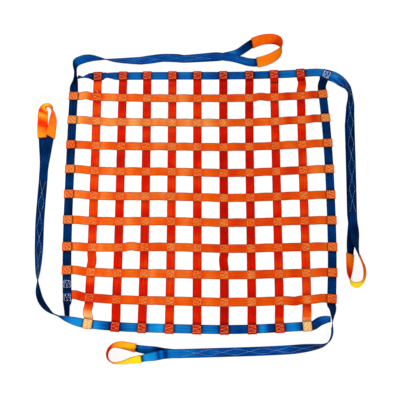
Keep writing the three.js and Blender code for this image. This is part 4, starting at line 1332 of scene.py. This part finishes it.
# White boxes, where a border is sewn to the end of another web: width of the thread, and x and y, in mm
WHITE_BOXES = {"right": (3.2, [(772, 757)]), "left": (1.6, [(-730, -500), (-727, -572)])}
ZIGZAG_HALF = 17 * MM  # how far the legs' zigzags swing from the middle
ZIGZAG_RUN = 145 * MM  # from one crossing of the two zigzags to the next
ZIGZAG_INSET = 20 * MM  # from the doubled part's ends to the zigzags
EYE_INSET = 10 * MM  # from the eye to them, where the leg itself lies on top


def zigzag_path(start, end, first_side):
    """A zigzag along the webbing as (across, along) points."""
    count = max(int(round((end - start) / ZIGZAG_RUN)), 1)
    along = np.linspace(start, end, count + 1)
    across = first_side * ZIGZAG_HALF * (-1.0) ** np.arange(count + 1)
    return np.column_stack([across, along])


edge_stitching = {}
for index, spec in enumerate(EDGE_WEBS):
    side = spec["side"]
    web, places = edge_webs[side], edge_places[side]
    draw = np.random.default_rng([index, EDGE_SEED])
    if side == "left":  # its doubled-back end lies on top of the leg
        start, end = web.along[places["back"]] + ZIGZAG_INSET, web.along[-1] - ZIGZAG_INSET
        thread = blue_thread
    else:
        start, end = web.along[places["tail"]] + ZIGZAG_INSET, web.along[places["leg_end"]] - EYE_INSET
        thread = grey_thread
    groups = [stitches_on(web, zigzag_path(start, end, first), FACE_UP, draw) for first in (-1, 1)]
    name = f"stitching_leg_{spec['eye']}"
    sewing = [add_stitching(name, groups, thread, "edge_webbing", draw, LEG_THREAD_WIDTH)]
    if side in WHITE_BOXES:
        width, box_places = WHITE_BOXES[side]
        border = web.middle[: places["leg_end"], :2]
        nearest = [np.linalg.norm(border - np.array(place) * MM, axis=1).argmin() for place in box_places]
        groups = [box_on(web, web.along[station], False, FACE_UP, draw) for station in nearest]
        name = f"stitching_border_{side}"
        sewing.append(add_stitching(name, groups, white_thread, "edge_webbing", draw, width * MM))
    edge_stitching[side] = sewing

# Works out the length each length of webbing was cut to
for straps, webs, stitching in (
    (down_straps, down_webs, down_stitching),
    (across_straps, across_webs, across_stitching),
    (edge_pieces.values(), edge_webs.values(), edge_stitching.values()),
):
    for strap, web, sewing in zip(straps, webs, stitching):
        length = web.along[-1]

# Floor, light and camera
# A plain white studio floor under soft light, seen from above and a little to the near side.

FLOOR_HALF = 12.0
FLOOR_GREY = (0.14, 0.14, 0.14, 1)
FLOOR_GLOW = 0.9  # brings the floor up to plain white without lighting the net
WHITE = (1, 1, 1, 1)
WORLD_LIGHT = 0.27
CAMERA_TILT = 14.6  # degrees off straight down
floor_corners = [(x * FLOOR_HALF, y * FLOOR_HALF, 0) for x, y in ((-1, -1), (1, -1), (1, 1), (-1, 1))]
floor_mesh = bpy.data.meshes.new("floor")
floor_mesh.from_pydata(floor_corners, [], [(0, 1, 2, 3)])
floor = bpy.data.objects.new("floor", floor_mesh)
bpy.context.scene.collection.objects.link(floor)
white_floor = bpy.data.materials.new("white_floor")
white_floor.use_nodes = True
floor_shader = white_floor.node_tree.nodes["Principled BSDF"]
floor_shader.inputs["Base Color"].default_value = FLOOR_GREY
floor_shader.inputs["Roughness"].default_value = 0.9
floor_shader.inputs["Emission Color"].default_value = WHITE
ray_kind = white_floor.node_tree.nodes.new("ShaderNodeLightPath")
put(floor_shader.inputs["Emission Strength"], Value(ray_kind.outputs["Is Camera Ray"]) * FLOOR_GLOW)
floor.data.materials.append(white_floor)

world = bpy.data.worlds.new("studio")
world.use_nodes = True
background = world.node_tree.nodes["Background"]
background.inputs["Color"].default_value = WHITE
background.inputs["Strength"].default_value = WORLD_LIGHT
bpy.context.scene.world = world


def add_lamp(name, place, aim, width, height, watts):
    """A rectangle of light at a place, turned towards another."""
    lamp = bpy.data.lights.new(name, "AREA")
    lamp.shape = "RECTANGLE"
    lamp.size, lamp.size_y = width, height
    lamp.energy = watts
    holder = bpy.data.objects.new(name, lamp)
    holder.location = place
    direction = np.array(aim) - np.array(place)
    holder.rotation_euler = (
        math.atan2(math.hypot(direction[0], direction[1]), -direction[2]),
        0.0,
        math.atan2(-direction[0], direction[1]),
    )
    bpy.context.scene.collection.objects.link(holder)


add_lamp("near_strip", (0, -5.0, 2.6), (0, 0, 0), 7.0, 1.6, 255)
add_lamp("far_strip", (0, 5.0, 2.6), (0, 0, 0), 7.0, 1.6, 145)
add_lamp("left_box", (-2.3, 0.2, 1.7), (-0.4, 0, 0), 3.0, 1.2, 54)
add_lamp("right_box", (2.5, -0.2, 1.7), (0.5, 0, 0), 3.0, 1.2, 20)

camera_data = bpy.data.cameras.new("camera")
camera_data.lens = 72
camera_data.sensor_width = 36
camera = bpy.data.objects.new("camera", camera_data)
camera.location = (0.0153, -1.1699, 4.4332)
camera.rotation_euler = (math.radians(CAMERA_TILT), 0, 0)
bpy.context.scene.collection.objects.link(camera)
bpy.context.scene.camera = camera
view = bpy.context.scene.view_settings
view.view_transform = "Standard"
view.use_curve_mapping = True
view.curve_mapping.black_level = (0.003, 0.003, 0.003)
view.curve_mapping.update()
